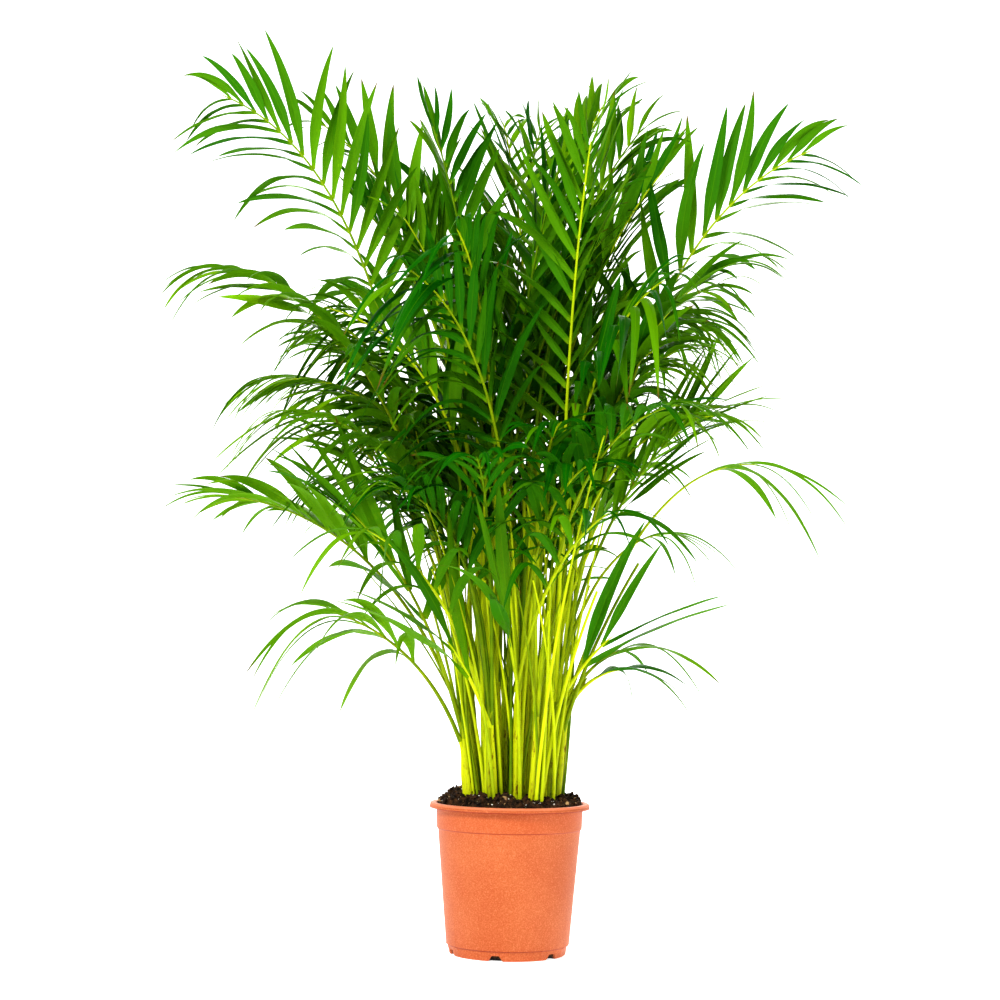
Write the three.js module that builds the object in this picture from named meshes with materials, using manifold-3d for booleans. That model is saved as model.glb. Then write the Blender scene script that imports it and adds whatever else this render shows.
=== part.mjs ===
// A young clumping feather palm in a nursery pot, in millimetres, +Z up.
// The pot stands on z = 0 with its axis on the origin, and its front faces -Y.
import * as THREE from 'three';
import Module from 'manifold-3d';

// Driving dimensions of the pot.
const POT_HEIGHT = 195;
const RIM_RADIUS = 105;
const LIP_DROP = 7;
const STEP_HEIGHT = 162;
const WALL = 1.6;
const POT_SIDES = 48;

// Driving dimensions of the planting.
const SOIL_LEVEL = 199;
const GAP = 0.3;
const SHOOT_COUNT = 18;
const SHOOT_SPREAD = 62;
const SHOOT_RADIUS = 5.8;
const SHOOT_DEPTH = 40;
const CLUMP_SHIFT = 6;

// Driving dimensions of a frond.
const STALK_RADIUS = 2.3;
const STALK_TIP = 0.8;
const BLADE_WIDTH = 19;
const BLADE_THICKNESS = 1.5;
const BLADE_GAP = 4.5;

const UP = new THREE.Vector3(0, 0, 1);
const GOLDEN_ANGLE = Math.PI * (3 - Math.sqrt(5));
const radians = (degrees) => degrees * Math.PI / 180;

// A repeatable scatter between -0.5 and 0.5, so no two leaflets are quite alike.
function scatter(a, b) {
  const wave = Math.sin(a * 127.1 + b * 311.7) * 43758.5453;
  return wave - Math.floor(wave) - 0.5;
}

// ---------------------------------------------------------------- pot and soil

// Outer radius of the tapering wall, and of the wider band above its step.
const wallRadius = (height) => 80.1 + (height - 13) * 0.0885;
const bandRadius = (height) => 95 + (height - STEP_HEIGHT) * 0.035;

// Outline of the pot's wall as [radius, height], from the middle of the underside
// round the outside, over the turned-down rim and down the inside.
function potProfile() {
  const top = POT_HEIGHT;
  const lip = RIM_RADIUS - WALL;
  return [
    [0, 0], [74.4, 0], [75.6, 1.2], [77.4, 12], [wallRadius(13), 13],
    [wallRadius(164), STEP_HEIGHT - 1], [bandRadius(166), STEP_HEIGHT + 0.4],
    [bandRadius(192), top - 5.4], [bandRadius(196) + 1, top - 2], [lip, top - 2],
    [lip, top - LIP_DROP], [RIM_RADIUS, top - LIP_DROP], [RIM_RADIUS, top - 1.2],
    [RIM_RADIUS - 1.2, top], [bandRadius(196) - WALL + 1, top - 0.4],
    [bandRadius(166) - WALL, STEP_HEIGHT + 1.2], [wallRadius(163) - WALL, STEP_HEIGHT - 2],
    [wallRadius(15) - WALL, 15.4], [75.8, 14], [73.6, 3], [0, 2.2],
  ];
}

function lathe(profile, sides) {
  const points = profile.map(([radius, height]) => new THREE.Vector2(radius, height));
  const geometry = new THREE.LatheGeometry(points, sides);
  geometry.rotateX(Math.PI / 2);
  return geometry;
}

// A drain notch is a trapezoid, wider at the foot, cut through the foot of the wall.
function notchCutter(turn) {
  const shape = new THREE.Shape();
  shape.moveTo(-9.5, -1);
  shape.lineTo(9.5, -1);
  shape.lineTo(5, 7.2);
  shape.lineTo(-5, 7.2);
  const geometry = new THREE.ExtrudeGeometry(shape, { depth: 16, bevelEnabled: false });
  geometry.rotateX(Math.PI / 2);
  geometry.translate(0, -67, 0);
  geometry.rotateZ(turn);
  return geometry;
}

// A moulding nub is a small block that stands out under the lower ledge.
function ledgeNub(turn) {
  const geometry = new THREE.BoxGeometry(3.6, 3, 3);
  geometry.translate(0, -78.2, 12);
  geometry.rotateZ(turn);
  return geometry;
}

function buildPot(kernel) {
  const notches = [...Array(6).keys()].map((i) => notchCutter(radians(-12 + i * 60)));
  const nubs = [...Array(12).keys()].map((i) => ledgeNub(radians(4 + i * 30)));
  let body = kernel.solid(lathe(potProfile(), POT_SIDES));
  for (const nub of nubs) body = body.add(kernel.solid(nub));
  for (const notch of notches) body = body.subtract(kernel.solid(notch));
  return kernel.geometry(body);
}

// Height of the heaped soil at a place, highest at the back left as in the photo.
function soilHeight(x, y) {
  const reach = Math.hypot(x, y) / 94;
  const heap = 9 * (1 - reach * reach) - 0.02 * x + 0.04 * y;
  const lumps = 1.6 * Math.sin(x * 0.13 + 1) * Math.cos(y * 0.11) + 0.8 * Math.sin(x * 0.31 - y * 0.27);
  return SOIL_LEVEL - 1 + heap + lumps;
}

// The soil fills the pot's inside, 0.3 mm clear of it, and carries a lumpy top.
function buildSoil(kernel, shoots) {
  const top = SOIL_LEVEL - 6;
  const inset = WALL + GAP;
  const profile = [
    [0, 2.6], [73, 3.4], [75.3, 14.4], [wallRadius(16) - inset, 16.2],
    [wallRadius(162) - inset, STEP_HEIGHT - 2.2], [bandRadius(166) - inset, STEP_HEIGHT + 1.4],
    [bandRadius(top) - inset, top], [84, top], [68, top], [50, top], [26, top], [0, top],
  ];
  const geometry = lathe(profile, POT_SIDES / 2);
  const place = geometry.attributes.position;
  for (let i = 0; i < place.count; i += 1) {
    const reach = Math.hypot(place.getX(i), place.getY(i));
    if (place.getZ(i) < top - 0.1 || reach > 88) continue;
    place.setZ(i, soilHeight(place.getX(i), place.getY(i)));
  }
  let body = kernel.solid(geometry);
  for (const shoot of shoots) body = body.subtract(kernel.solid(shootGeometry(shoot, GAP)));
  return kernel.geometry(body);
}

// ---------------------------------------------------------------- shoots

// Shoots fill a round clump at even spacing, each leaning a little outward.
// The outer ones are shorter.
function layOutShoots() {
  return [...Array(SHOOT_COUNT).keys()].map((i) => {
    const reach = SHOOT_SPREAD * Math.sqrt((i + 0.4) / SHOOT_COUNT);
    const turn = i * GOLDEN_ANGLE + 0.5;
    const foot = new THREE.Vector3(CLUMP_SHIFT + reach * Math.cos(turn), reach * Math.sin(turn), 0);
    const lean = radians(1 + 0.1 * reach);
    const axis = new THREE.Vector3(Math.cos(turn), Math.sin(turn), 0)
      .multiplyScalar(Math.sin(lean)).addScaledVector(UP, Math.cos(lean));
    const height = 180 - 1.5 * reach + 40 * scatter(i, 1);
    foot.z = soilHeight(foot.x, foot.y) - SHOOT_DEPTH;
    const top = foot.clone().addScaledVector(axis, SHOOT_DEPTH + height);
    return { foot, axis, top, height, free: [0, 1, 2], turn: turn + scatter(i, 2) };
  });
}

// A shoot is a closed six-sided stem, swollen at the foot. `grow` widens it to cut its socket.
function shootGeometry({ foot, axis, height, turn }, grow) {
  const total = SHOOT_DEPTH + height;
  const stations = [
    [-grow, 1.05], [SHOOT_DEPTH * 0.6, 1.12], [SHOOT_DEPTH + 30, 1], [total * 0.62, 0.92],
    [total + grow * 4, 0.98],
  ];
  const profile = stations.map(([along, width]) => [SHOOT_RADIUS * width + grow, along]);
  const geometry = lathe([[0, profile[0][1]], ...profile, [0, profile[4][1]]], 6);
  geometry.rotateZ(turn);
  geometry.applyQuaternion(new THREE.Quaternion().setFromUnitVectors(UP, axis));
  geometry.translate(foot.x, foot.y, foot.z);
  return geometry;
}

// ---------------------------------------------------------------- frond paths

// A frond rises at `lean` degrees from upright toward `bearing` and arches over to
// `droop` degrees at its tip. `bend` says how late along its length it arches.
function frondPath(frond, seat, bearing) {
  const steps = 40;
  const heading = new THREE.Vector3(Math.cos(bearing), Math.sin(bearing), 0);
  const across = new THREE.Vector3(-Math.sin(bearing), Math.cos(bearing), 0);
  const path = [];
  const place = seat.clone();
  for (let i = 0; i <= steps; i += 1) {
    const along = i / steps;
    const angle = radians(frond.lean + (frond.droop - frond.lean) * along ** frond.bend);
    const tangent = heading.clone().multiplyScalar(Math.sin(angle)).addScaledVector(UP, Math.cos(angle));
    const side = across.clone().applyAxisAngle(tangent, radians(frond.roll) * Math.min(1, along * 2));
    path.push({ place: place.clone(), tangent, side, normal: tangent.clone().cross(side) });
    place.addScaledVector(tangent, frond.length / steps);
  }
  return path;
}

function pathAt(path, along) {
  const last = path.length - 1;
  const exact = Math.min(Math.max(along, 0), 1) * last;
  const low = Math.min(Math.floor(exact), last - 1);
  const mix = exact - low;
  const blend = (key) => path[low][key].clone().lerp(path[low + 1][key], mix);
  return { place: blend('place'), tangent: blend('tangent'), side: blend('side'), normal: blend('normal') };
}

// ---------------------------------------------------------------- clearances

// Shortest distance between the segments a-b and c-d.
function segmentDistance(a, b, c, d) {
  const u = b.clone().sub(a);
  const v = d.clone().sub(c);
  const w = a.clone().sub(c);
  const uu = u.dot(u);
  const uv = u.dot(v);
  const vv = v.dot(v);
  const uw = u.dot(w);
  const vw = v.dot(w);
  const spread = uu * vv - uv * uv;
  let s = spread > 1e-9 ? THREE.MathUtils.clamp((uv * vw - vv * uw) / spread, 0, 1) : 0;
  const t = THREE.MathUtils.clamp((uv * s + vw) / vv, 0, 1);
  s = THREE.MathUtils.clamp((uv * t - uw) / uu, 0, 1);
  return w.addScaledVector(u, s).addScaledVector(v, -t).length();
}

// A ball round a set of segments, so that far things are passed over quickly.
function boundSegments(segments) {
  const centre = segments[0][0].clone().add(segments[segments.length - 1][1]).multiplyScalar(0.5);
  const reach = Math.max(...segments.flat().map((point) => point.distanceTo(centre)));
  return { segments, centre, reach };
}

function tooClose(one, other, gap) {
  if (one.centre.distanceTo(other.centre) > one.reach + other.reach + gap) return false;
  return one.segments.some(([a, b]) => other.segments.some(([c, d]) => segmentDistance(a, b, c, d) < gap));
}

// The stalk's course in short runs, each with its own ball.
function stalkRuns(path) {
  const runs = [];
  for (let i = 0; i + 4 < path.length; i += 4) {
    const segments = [[path[i].place, path[i + 2].place], [path[i + 2].place, path[i + 4].place]];
    runs.push(boundSegments(segments));
  }
  return runs;
}

const RAY = new THREE.Ray();
const HIT = new THREE.Vector3();

// Whether the edge p-q passes through a face. An edge that ends on one of the face's own
// corners doesn't count.
function edgeCrosses(p, q, face) {
  if (face.includes(p) || face.includes(q)) return false;
  RAY.origin.copy(p);
  RAY.direction.subVectors(q, p).normalize();
  if (!RAY.intersectTriangle(face[0], face[1], face[2], false, HIT)) return false;
  return HIT.distanceToSquared(p) < q.distanceToSquared(p);
}

function facesCross(one, other) {
  return [0, 1, 2].some((i) => {
    const next = (i + 1) % 3;
    return edgeCrosses(one[i], one[next], other) || edgeCrosses(other[i], other[next], one);
  });
}

// Whether a leaflet's faces pass through each other or through one of its frond's other pieces.
function selfCrossing(leaflet, pieces) {
  const { faces, centre, reach } = leaflet;
  if (faces.some((face, i) => faces.slice(i + 1).some((other) => facesCross(face, other)))) return true;
  return pieces.some((piece) => piece.centre.distanceTo(centre) < piece.reach + reach
    && piece.faces.some((face) => faces.some((other) => facesCross(face, other))));
}

// ---------------------------------------------------------------- leaflets

// Stations of the leaflet pairs, closer together toward the tip, as parts of the length.
function pairStations(frond) {
  return [...Array(frond.pairs).keys()].map((i) => {
    const left = (1 - i / frond.pairs) ** 1.15;
    return 1 - (1 - frond.bare) * left;
  });
}

// The blade's two edges and its ridge at its widest place, and its tip. It leaves the
// stalk at `open` degrees, raised by `rise`, and sags under its own weight.
function leafletShape(root, sideSign, open, rise, long, width) {
  const { tangent, side, normal } = root.frame;
  const outward = side.clone().multiplyScalar(sideSign * Math.cos(rise))
    .addScaledVector(normal, Math.sin(rise));
  const aim = tangent.clone().multiplyScalar(Math.cos(open))
    .addScaledVector(outward, Math.sin(open)).normalize();
  const level = Math.sqrt(1 - aim.z * aim.z);
  const fall = root.sag * level;
  const along = (t) => root.place.clone().addScaledVector(aim, long * t)
    .addScaledVector(UP, -fall * long * t * t);
  const middle = along(0.45);
  const tip = along(1);
  const run = tip.clone().sub(root.place).normalize();
  const flat = new THREE.Vector3().crossVectors(run, UP);
  const across = tangent.clone().addScaledVector(run, -tangent.dot(run)).normalize();
  if (flat.dot(across) < 0) flat.negate();
  across.addScaledVector(flat, 2.2 * level * level);
  across.addScaledVector(run, -across.dot(run)).normalize();
  const upward = new THREE.Vector3().crossVectors(across, run).multiplyScalar(sideSign);
  const ridge = middle.clone().addScaledVector(upward, BLADE_THICKNESS);
  const front = middle.clone().addScaledVector(across, width / 2);
  const back = middle.clone().addScaledVector(across, -width / 2);
  return { blade: sideSign > 0 ? [ridge, front, back] : [ridge, back, front], tip };
}

// Starts the blade's three corners at the one that twists it least against its root.
function untwist(corners, blade) {
  const orders = [0, 1, 2].map((turn) => [0, 1, 2].map((i) => blade[(i + turn) % 3]));
  const twist = (order) => order.reduce((sum, corner, i) => sum + corner.distanceToSquared(corners[i]), 0);
  return orders.reduce((best, order) => (twist(order) < twist(best) ? order : best));
}

// The six faces between a root and a blade, with the fuller of the two ways to split them.
function sleeveFaces(corners, blade) {
  const ways = [[], []];
  for (let i = 0; i < 3; i += 1) {
    const next = (i + 1) % 3;
    ways[0].push([corners[i], corners[next], blade[next]], [corners[i], blade[next], blade[i]]);
    ways[1].push([corners[i], corners[next], blade[i]], [corners[next], blade[next], blade[i]]);
  }
  const normal = new THREE.Vector3();
  const fullness = (faces) => faces.reduce((sum, [a, b, c]) => sum + normal.crossVectors(b, c).dot(a), 0);
  return fullness(ways[0]) > fullness(ways[1]) ? ways[0] : ways[1];
}

// A leaflet's outward faces, from the stalk's triangle that it grows out of to its tip,
// with the segments that its clearances are measured from.
function leafletSolid(root, { blade, tip }) {
  const corners = untwist(root.corners, blade);
  const point = corners.map((corner, i) => [corner, corners[(i + 1) % 3], tip]);
  const inner = blade.map((corner) => [root.place, corner]);
  const outer = blade.map((corner) => [corner, tip]);
  const faces = [...sleeveFaces(root.corners, corners), ...point];
  return { faces, ...boundSegments([...inner, ...outer]), far: boundSegments(outer) };
}

// Whether a leaflet runs into a stalk: any part of it for another frond's stalk, and only
// its outer part for its own.
function touchesStalk(leaflet, owner, runs) {
  return runs.some((run) => (run.owner === owner
    ? tooClose(run, leaflet.far, STALK_RADIUS + 1)
    : tooClose(run, leaflet, STALK_RADIUS + 3)));
}

// Tries the natural pose first, then turned, raised and shortened ones, until one is
// clear of everything that stands already. Returns null where no pose is clear.
function poseLeaflet(root, sideSign, size, standing, own) {
  for (let attempt = 0; attempt < 60; attempt += 1) {
    const turn = [0, -8, 8, -16, 16][attempt % 5];
    const lift = [0, 14, -14][Math.floor(attempt / 5) % 3];
    const long = size.long * (1 - 0.18 * Math.floor(attempt / 15));
    const open = radians(size.open + turn);
    const rise = radians(size.rise + lift);
    const leaflet = leafletSolid(root, leafletShape(root, sideSign, open, rise, long, size.width));
    if (touchesStalk(leaflet, root.owner, standing.stalks)) continue;
    if (standing.blades.some((blade) => tooClose(blade, leaflet, BLADE_GAP))) continue;
    if (selfCrossing(leaflet, own)) continue;
    own.push(leaflet);
    return leaflet;
  }
  return null;
}

// The rings of the stalk: four on its bare part, then two for each pair of leaflets.
function stalkRings(frond, path) {
  const stations = pairStations(frond);
  const bare = [0, 0.25, 0.5, 0.75].map((part) => ({ along: part * frond.bare }));
  const paired = stations.flatMap((along, i) => {
    const pitch = ((stations[i + 1] ?? 1) - along) * frond.length;
    const end = along + Math.min(7, pitch * 0.55) / frond.length;
    return [{ along }, { along: end, pair: { number: i, pitch, middle: (along + end) / 2 } }];
  });
  return [...bare, ...paired].map((ring) => ({ ...ring, corners: stalkRing(path, ring.along) }));
}

// The faces of each stretch of stalk between two rings. `sides` are the triangles that
// leaflets grow out of.
function stalkStretches(rings) {
  return rings.slice(1).map((high, i) => {
    const [lowTop, lowLeft, lowRight] = rings[i].corners;
    const [highTop, highLeft, highRight] = high.corners;
    const faces = [
      [lowTop, highTop, highLeft], [lowTop, highRight, highTop],
      [lowLeft, highLeft, highRight], [lowLeft, highRight, lowRight],
    ];
    const sides = [[lowTop, highLeft, lowLeft], [lowTop, lowRight, highRight]];
    return { pair: high.pair, faces, sides, ...boundSegments([[lowTop, highLeft], [lowRight, highRight]]) };
  });
}

// Length of a leaflet as a share of the frond's longest, which stand a third of the way up.
const leafletLength = (part) => 0.84 + 0.78 * part - 1.2 * part * part;

// The two leaflets of a pair, or null on a side where nothing is clear.
function growPair(frond, path, { pair, sides }, standing, own) {
  const { number, pitch, middle } = pair;
  const frame = pathAt(path, middle);
  const part = (number + 0.5) / frond.pairs;
  const vary = (seed, sideSign) => scatter(frond.number * seed + number, sideSign);
  return [1, -1].map((sideSign, i) => {
    const open = frond.spread * (1 - 0.56 * part) + 15 * vary(31, sideSign);
    const rise = frond.rise + 22 * vary(17, sideSign + 5);
    const long = frond.leaf * leafletLength(part) * (1 + 0.2 * vary(7, sideSign + 9));
    const width = Math.min(BLADE_WIDTH * frond.broad, 1.05 * pitch * Math.sin(radians(open)));
    const sag = frond.sag * (1 + 0.5 * vary(3, sideSign + 2));
    const place = frame.place.clone().addScaledVector(frame.side, sideSign * 2);
    const root = { frame, place, sag, owner: frond.number, corners: sides[i] };
    return poseLeaflet(root, sideSign, { open, rise, long, width }, standing, own);
  });
}

// ---------------------------------------------------------------- frond solid

function stalkRadius(along) {
  return STALK_RADIUS + (STALK_TIP - STALK_RADIUS) * along ** 1.3;
}

// One three-sided ring of the stalk: its top, left and right corners.
function stalkRing(path, along) {
  const { place, side, normal } = pathAt(path, along);
  const radius = stalkRadius(along);
  const corner = (sideways, upward) => place.clone()
    .addScaledVector(side, sideways * radius)
    .addScaledVector(normal, upward * radius);
  return [corner(0, 1), corner(0.9, -0.6), corner(-0.9, -0.6)];
}

// One closed solid from outward faces. Faces that share a corner hold the same point.
function solidGeometry(faces) {
  const corners = [...new Set(faces.flat())];
  const number = new Map(corners.map((corner, i) => [corner, i]));
  const geometry = new THREE.BufferGeometry().setFromPoints(corners);
  geometry.setIndex(faces.flat().map((corner) => number.get(corner)));
  geometry.computeVertexNormals();
  return geometry;
}

// Grows a frond's leaflets and joins them with its stalk, whose last ring runs to a point.
function frondGeometry(frond, path, standing) {
  const rings = stalkRings(frond, path);
  const stretches = stalkStretches(rings);
  const own = stretches.map((stretch) => ({ ...stretch, faces: [...stretch.faces, ...stretch.sides] }));
  const [top, left, right] = rings[rings.length - 1].corners;
  const end = pathAt(path, 1).place;
  const faces = [rings[0].corners, [top, right, end], [right, left, end], [left, top, end]];
  for (const stretch of stretches) {
    const leaflets = stretch.pair ? growPair(frond, path, stretch, standing, own) : [];
    faces.push(...stretch.faces);
    stretch.sides.forEach((side, i) => faces.push(...(leaflets[i]?.faces ?? [side])));
  }
  standing.blades.push(...own.slice(stretches.length));
  return solidGeometry(faces);
}

// ---------------------------------------------------------------- the crown

// Fronds that shape the outline seen from the front. bearing: 0 right, 90 back, 180 left,
// 270 front. at: where in the clump it starts. Angles in degrees, lengths in millimetres.
const OUTLINE_FRONDS = [
  // Low fronds on the outside of the clump.
  { at: [-65, -10], bearing: 186, lean: 22, droop: 76, bend: 1.2, length: 250, roll: 10,
    pairs: 6, leaf: 225, rise: 12, sag: 0.8, broad: 0.9 },
  { at: [-65, 10], bearing: 180, lean: 21, droop: 86, bend: 1.5, length: 470, roll: 5,
    pairs: 11, leaf: 190, rise: 28, sag: 0.3, bare: 0.56, broad: 0.8 },
  { at: [-30, -50], bearing: 222, lean: 18, droop: 72, bend: 1.4, length: 330, roll: 0,
    pairs: 5, leaf: 210, sag: 0.9, broad: 1.5 },
  { at: [70, -5], bearing: 356, lean: 30, droop: 96, bend: 1.2, length: 105, roll: 0,
    pairs: 2, leaf: 165, rise: 5, sag: 0.5, broad: 0.55 },
  { at: [55, 25], bearing: 4, lean: 24, droop: 88, bend: 1.4, length: 130, roll: 0,
    pairs: 2, leaf: 180, rise: 5, sag: 0.5, broad: 0.6 },
  { at: [66, 0], bearing: 2, lean: 20, droop: 98, bend: 3, length: 445, roll: 0,
    pairs: 3, leaf: 200, rise: 5, sag: 0.7, bare: 0.82, broad: 0.75, spread: 40 },
  // Left side, from the top down.
  { at: [-34, 0], bearing: 178, lean: 13, droop: 72, bend: 4.2, length: 898, roll: 54,
    pairs: 17, leaf: 200, rise: 22, sag: 0.34, bare: 0.56, broad: 0.68 },
  { at: [-14, 10], bearing: 170, lean: 7, droop: 60, bend: 3.2, length: 840, roll: 40,
    pairs: 14, leaf: 180, bare: 0.52, broad: 0.9 },
  { at: [-20, 30], bearing: 168, lean: 6, droop: 70, bend: 2.8, length: 580, roll: 0,
    pairs: 17, leaf: 195, rise: -5, sag: 0.8 },
  { at: [-45, 0], bearing: 184, lean: 15, droop: 96, bend: 2.9, length: 705, roll: 0,
    pairs: 17, leaf: 165, rise: 2, sag: 0.45, broad: 0.85 },
  { at: [-45, 20], bearing: 172, lean: 6, droop: 102, bend: 2.5, length: 625, roll: -5,
    pairs: 16, leaf: 165, rise: 5, sag: 0.6, broad: 0.9 },
  { at: [-40, -20], bearing: 192, lean: 4, droop: 102, bend: 2.3, length: 560, roll: 10,
    pairs: 14, leaf: 165, rise: -5, sag: 0.65, broad: 0.9 },
  { at: [-45, -35], bearing: 196, lean: 16, droop: 50, bend: 1.6, length: 350, roll: 50,
    pairs: 5, leaf: 260, sag: 0.2, broad: 1.5, spread: 34 },
  // Right side, from the top down.
  { at: [36, 0], bearing: 5, lean: 12, droop: 70, bend: 3.2, length: 850, roll: -54,
    pairs: 16, leaf: 205, rise: 24, sag: 0.36, bare: 0.48, broad: 0.78 },
  { at: [45, -10], bearing: 352, lean: 10, droop: 72, bend: 3.4, length: 655, roll: 5,
    pairs: 17, leaf: 185, rise: 8, sag: 0.45 },
  { at: [40, 20], bearing: 14, lean: 13, droop: 66, bend: 2.2, length: 450, roll: -10,
    pairs: 11, leaf: 165, rise: 5, sag: 0.45, broad: 0.9 },
  { at: [40, -15], bearing: 350, lean: 15, droop: 58, bend: 2, length: 450, roll: -62,
    pairs: 10, leaf: 190, sag: 0.1, bare: 0.54, broad: 0.8, spread: 36 },
  { at: [62, -15], bearing: 358, lean: 30, droop: 52, bend: 1.5, length: 125, roll: -80,
    pairs: 2, leaf: 225, rise: 0, sag: 0.15, bare: 0.5, broad: 1.4, spread: 32 },
  // Fronds that lean toward the front.
  { at: [44, -35], bearing: 278, lean: 5, droop: 44, bend: 2.4, length: 740, roll: 15,
    pairs: 15, leaf: 205 },
  { at: [20, -40], bearing: 232, lean: 5, droop: 82, bend: 2.6, length: 610, roll: 50,
    pairs: 13, leaf: 190, rise: 18, sag: 0.9, broad: 1.1 },
  { at: [-10, -48], bearing: 262, lean: 5, droop: 78, bend: 2.2, length: 400, roll: 0,
    pairs: 9, leaf: 195, sag: 0.8, broad: 1.3 },
  { at: [34, -40], bearing: 318, lean: 6, droop: 92, bend: 2.4, length: 490, roll: 0,
    pairs: 12, leaf: 175, sag: 0.7 },
];

// Lengths of the upright fronds in the crown's middle, going round it.
const UPRIGHT_LENGTHS = [805, 745, 795, 720, 695, 665, 640, 610, 580];

// The rest of the crown: upright fronds filling its middle, then arching ones that lean to
// the sides and the back.
function fillingFronds() {
  const upright = UPRIGHT_LENGTHS.map((length, i) => ({
    at: [24 * Math.cos(i * 2.4), 24 * Math.sin(i * 2.4)], bearing: 105 + i * 137.5,
    lean: [3, 4, 2][i % 3], droop: 42, bend: 2.6, length, roll: 140 * scatter(i, 3),
    pairs: 17, leaf: 185, bare: 0.42, sag: 0.4 + 0.3 * scatter(i, 5),
  }));
  const arching = [...Array(9).keys()].map((i) => ({
    at: [44 * Math.cos(radians(200 - i * 110)), 36], bearing: 8 + i * 20.5, lean: 8, droop: 72,
    bend: 2.2, length: 700 - 125 * (i % 3), roll: 60 * scatter(i, 4), pairs: 15, leaf: 185,
    sag: 0.6, bare: 0.36, broad: 1.1,
  }));
  return [...upright, ...arching];
}

function allFronds() {
  const common = { rise: 32, sag: 0.34, broad: 1, bare: 0.48, spread: 50 };
  const rows = [...OUTLINE_FRONDS, ...fillingFronds()];
  return rows.map((frond, number) => ({ ...common, ...frond, number }));
}

// Every free place on top of a shoot, nearest to where the frond should start first.
function seatsNear(shoots, at) {
  const seats = [];
  for (const shoot of shoots) {
    for (const slot of shoot.free) {
      const turn = shoot.turn + slot * 2 * Math.PI / 3;
      const shift = new THREE.Vector3(Math.cos(turn), Math.sin(turn), 0).multiplyScalar(3.1);
      const place = shoot.top.clone().add(shift.projectOnPlane(shoot.axis));
      seats.push({ shoot, slot, place, far: Math.hypot(shoot.foot.x - at[0], shoot.foot.y - at[1]) });
    }
  }
  return seats.sort((one, other) => one.far - other.far);
}

// Lifts a stalk along its shoot until the lowest corner of its foot stands just off the top.
function restOnShoot(path, { shoot, place }) {
  const depths = stalkRing(path, 0).map((corner) => place.clone().sub(corner).dot(shoot.axis));
  const lift = Math.max(...depths) + GAP;
  for (const step of path) step.place.addScaledVector(shoot.axis, lift);
}

// Seats a frond where its whole stalk is clear of the stalks already standing.
function seatFrond(frond, shoots, standing) {
  for (const seat of seatsNear(shoots, frond.at)) {
    for (const nudge of [0, 4, -4, 8, -8, 12, -12]) {
      const path = frondPath(frond, seat.place, radians(frond.bearing + nudge));
      restOnShoot(path, seat);
      const runs = stalkRuns(path);
      if (standing.stalks.some((run) => runs.some((mine) => tooClose(run, mine, 5.1)))) continue;
      seat.shoot.free = seat.shoot.free.filter((slot) => slot !== seat.slot);
      standing.stalks.push(...runs.map((run) => Object.assign(run, { owner: frond.number })));
      return path;
    }
  }
  throw new Error(`no clear seat for frond ${frond.number}`);
}

// ---------------------------------------------------------------- assembly

// Joins and cuts solids with the boolean kernel.
function openKernel(wasm) {
  return {
    solid: (geometry) => {
      const welded = weld(geometry);
      const mesh = { numProp: 3, vertProperties: welded.points, triVerts: welded.faces };
      return new wasm.Manifold(new wasm.Mesh(mesh));
    },
    geometry: (body) => {
      const mesh = body.getMesh();
      const geometry = new THREE.BufferGeometry();
      geometry.setAttribute('position', new THREE.BufferAttribute(mesh.vertProperties, 3));
      geometry.setIndex(new THREE.BufferAttribute(mesh.triVerts, 1));
      geometry.computeVertexNormals();
      return geometry;
    },
  };
}

// Merges corners that share a place and drops faces that shrink to nothing.
function weld(geometry) {
  const place = geometry.attributes.position;
  const index = geometry.index ? [...geometry.index.array] : [...Array(place.count).keys()];
  const seen = new Map();
  const points = [];
  const corner = index.map((i) => {
    const key = [place.getX(i), place.getY(i), place.getZ(i)].map((v) => Math.round(v * 1e4)).join();
    if (!seen.has(key)) {
      seen.set(key, points.length / 3);
      points.push(place.getX(i), place.getY(i), place.getZ(i));
    }
    return seen.get(key);
  });
  const faces = [];
  for (let i = 0; i < corner.length; i += 3) {
    const [a, b, c] = corner.slice(i, i + 3);
    if (a !== b && b !== c && c !== a) faces.push(a, b, c);
  }
  return { points: new Float32Array(points), faces: new Uint32Array(faces) };
}

const FINISHES = {
  pot: { color: '#e8713a', roughness: 0.55 },
  soil: { color: '#3b2413', roughness: 1 },
  shoot: { color: '#a8b41c', roughness: 0.5 },
  frond: { color: '#2f7a12', roughness: 0.42 },
};

function addPiece(group, name, geometry) {
  const finish = FINISHES[name.split('_')[0]];
  const material = new THREE.MeshStandardMaterial({ ...finish, metalness: 0 });
  const mesh = new THREE.Mesh(geometry, material);
  mesh.name = name;
  group.add(mesh);
}

async function buildPalm() {
  const wasm = await Module();
  wasm.setup();
  const kernel = openKernel(wasm);
  const palm = new THREE.Group();
  const shoots = layOutShoots();
  addPiece(palm, 'pot', buildPot(kernel));
  addPiece(palm, 'soil', buildSoil(kernel, shoots));
  const twoDigits = (number) => String(number + 1).padStart(2, '0');
  shoots.forEach((shoot, i) => {
    const body = kernel.solid(shootGeometry(shoot, 0));
    addPiece(palm, `shoot_${twoDigits(i)}`, kernel.geometry(body));
  });
  const standing = { stalks: [], blades: [] };
  const fronds = allFronds();
  const paths = fronds.map((frond) => seatFrond(frond, shoots, standing));
  fronds.forEach((frond, i) => {
    addPiece(palm, `frond_${twoDigits(i)}`, frondGeometry(frond, paths[i], standing));
  });
  return palm;
}

export default await buildPalm();
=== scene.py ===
# %% [markdown]
# # A potted feather palm
#
# This lesson dresses a imported CAD model of a young clumping palm in its nursery pot. The CAD
# model, the frame, says where the pot, the soil and every stem and frond stand, in metres with
# Z up. Each of its nodes gets a finer surface here that stands in the same place.
#
# ## Loading the frame
#
# The frame comes first, because every size below is read from it.

# %% Load the frame
import math

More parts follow.
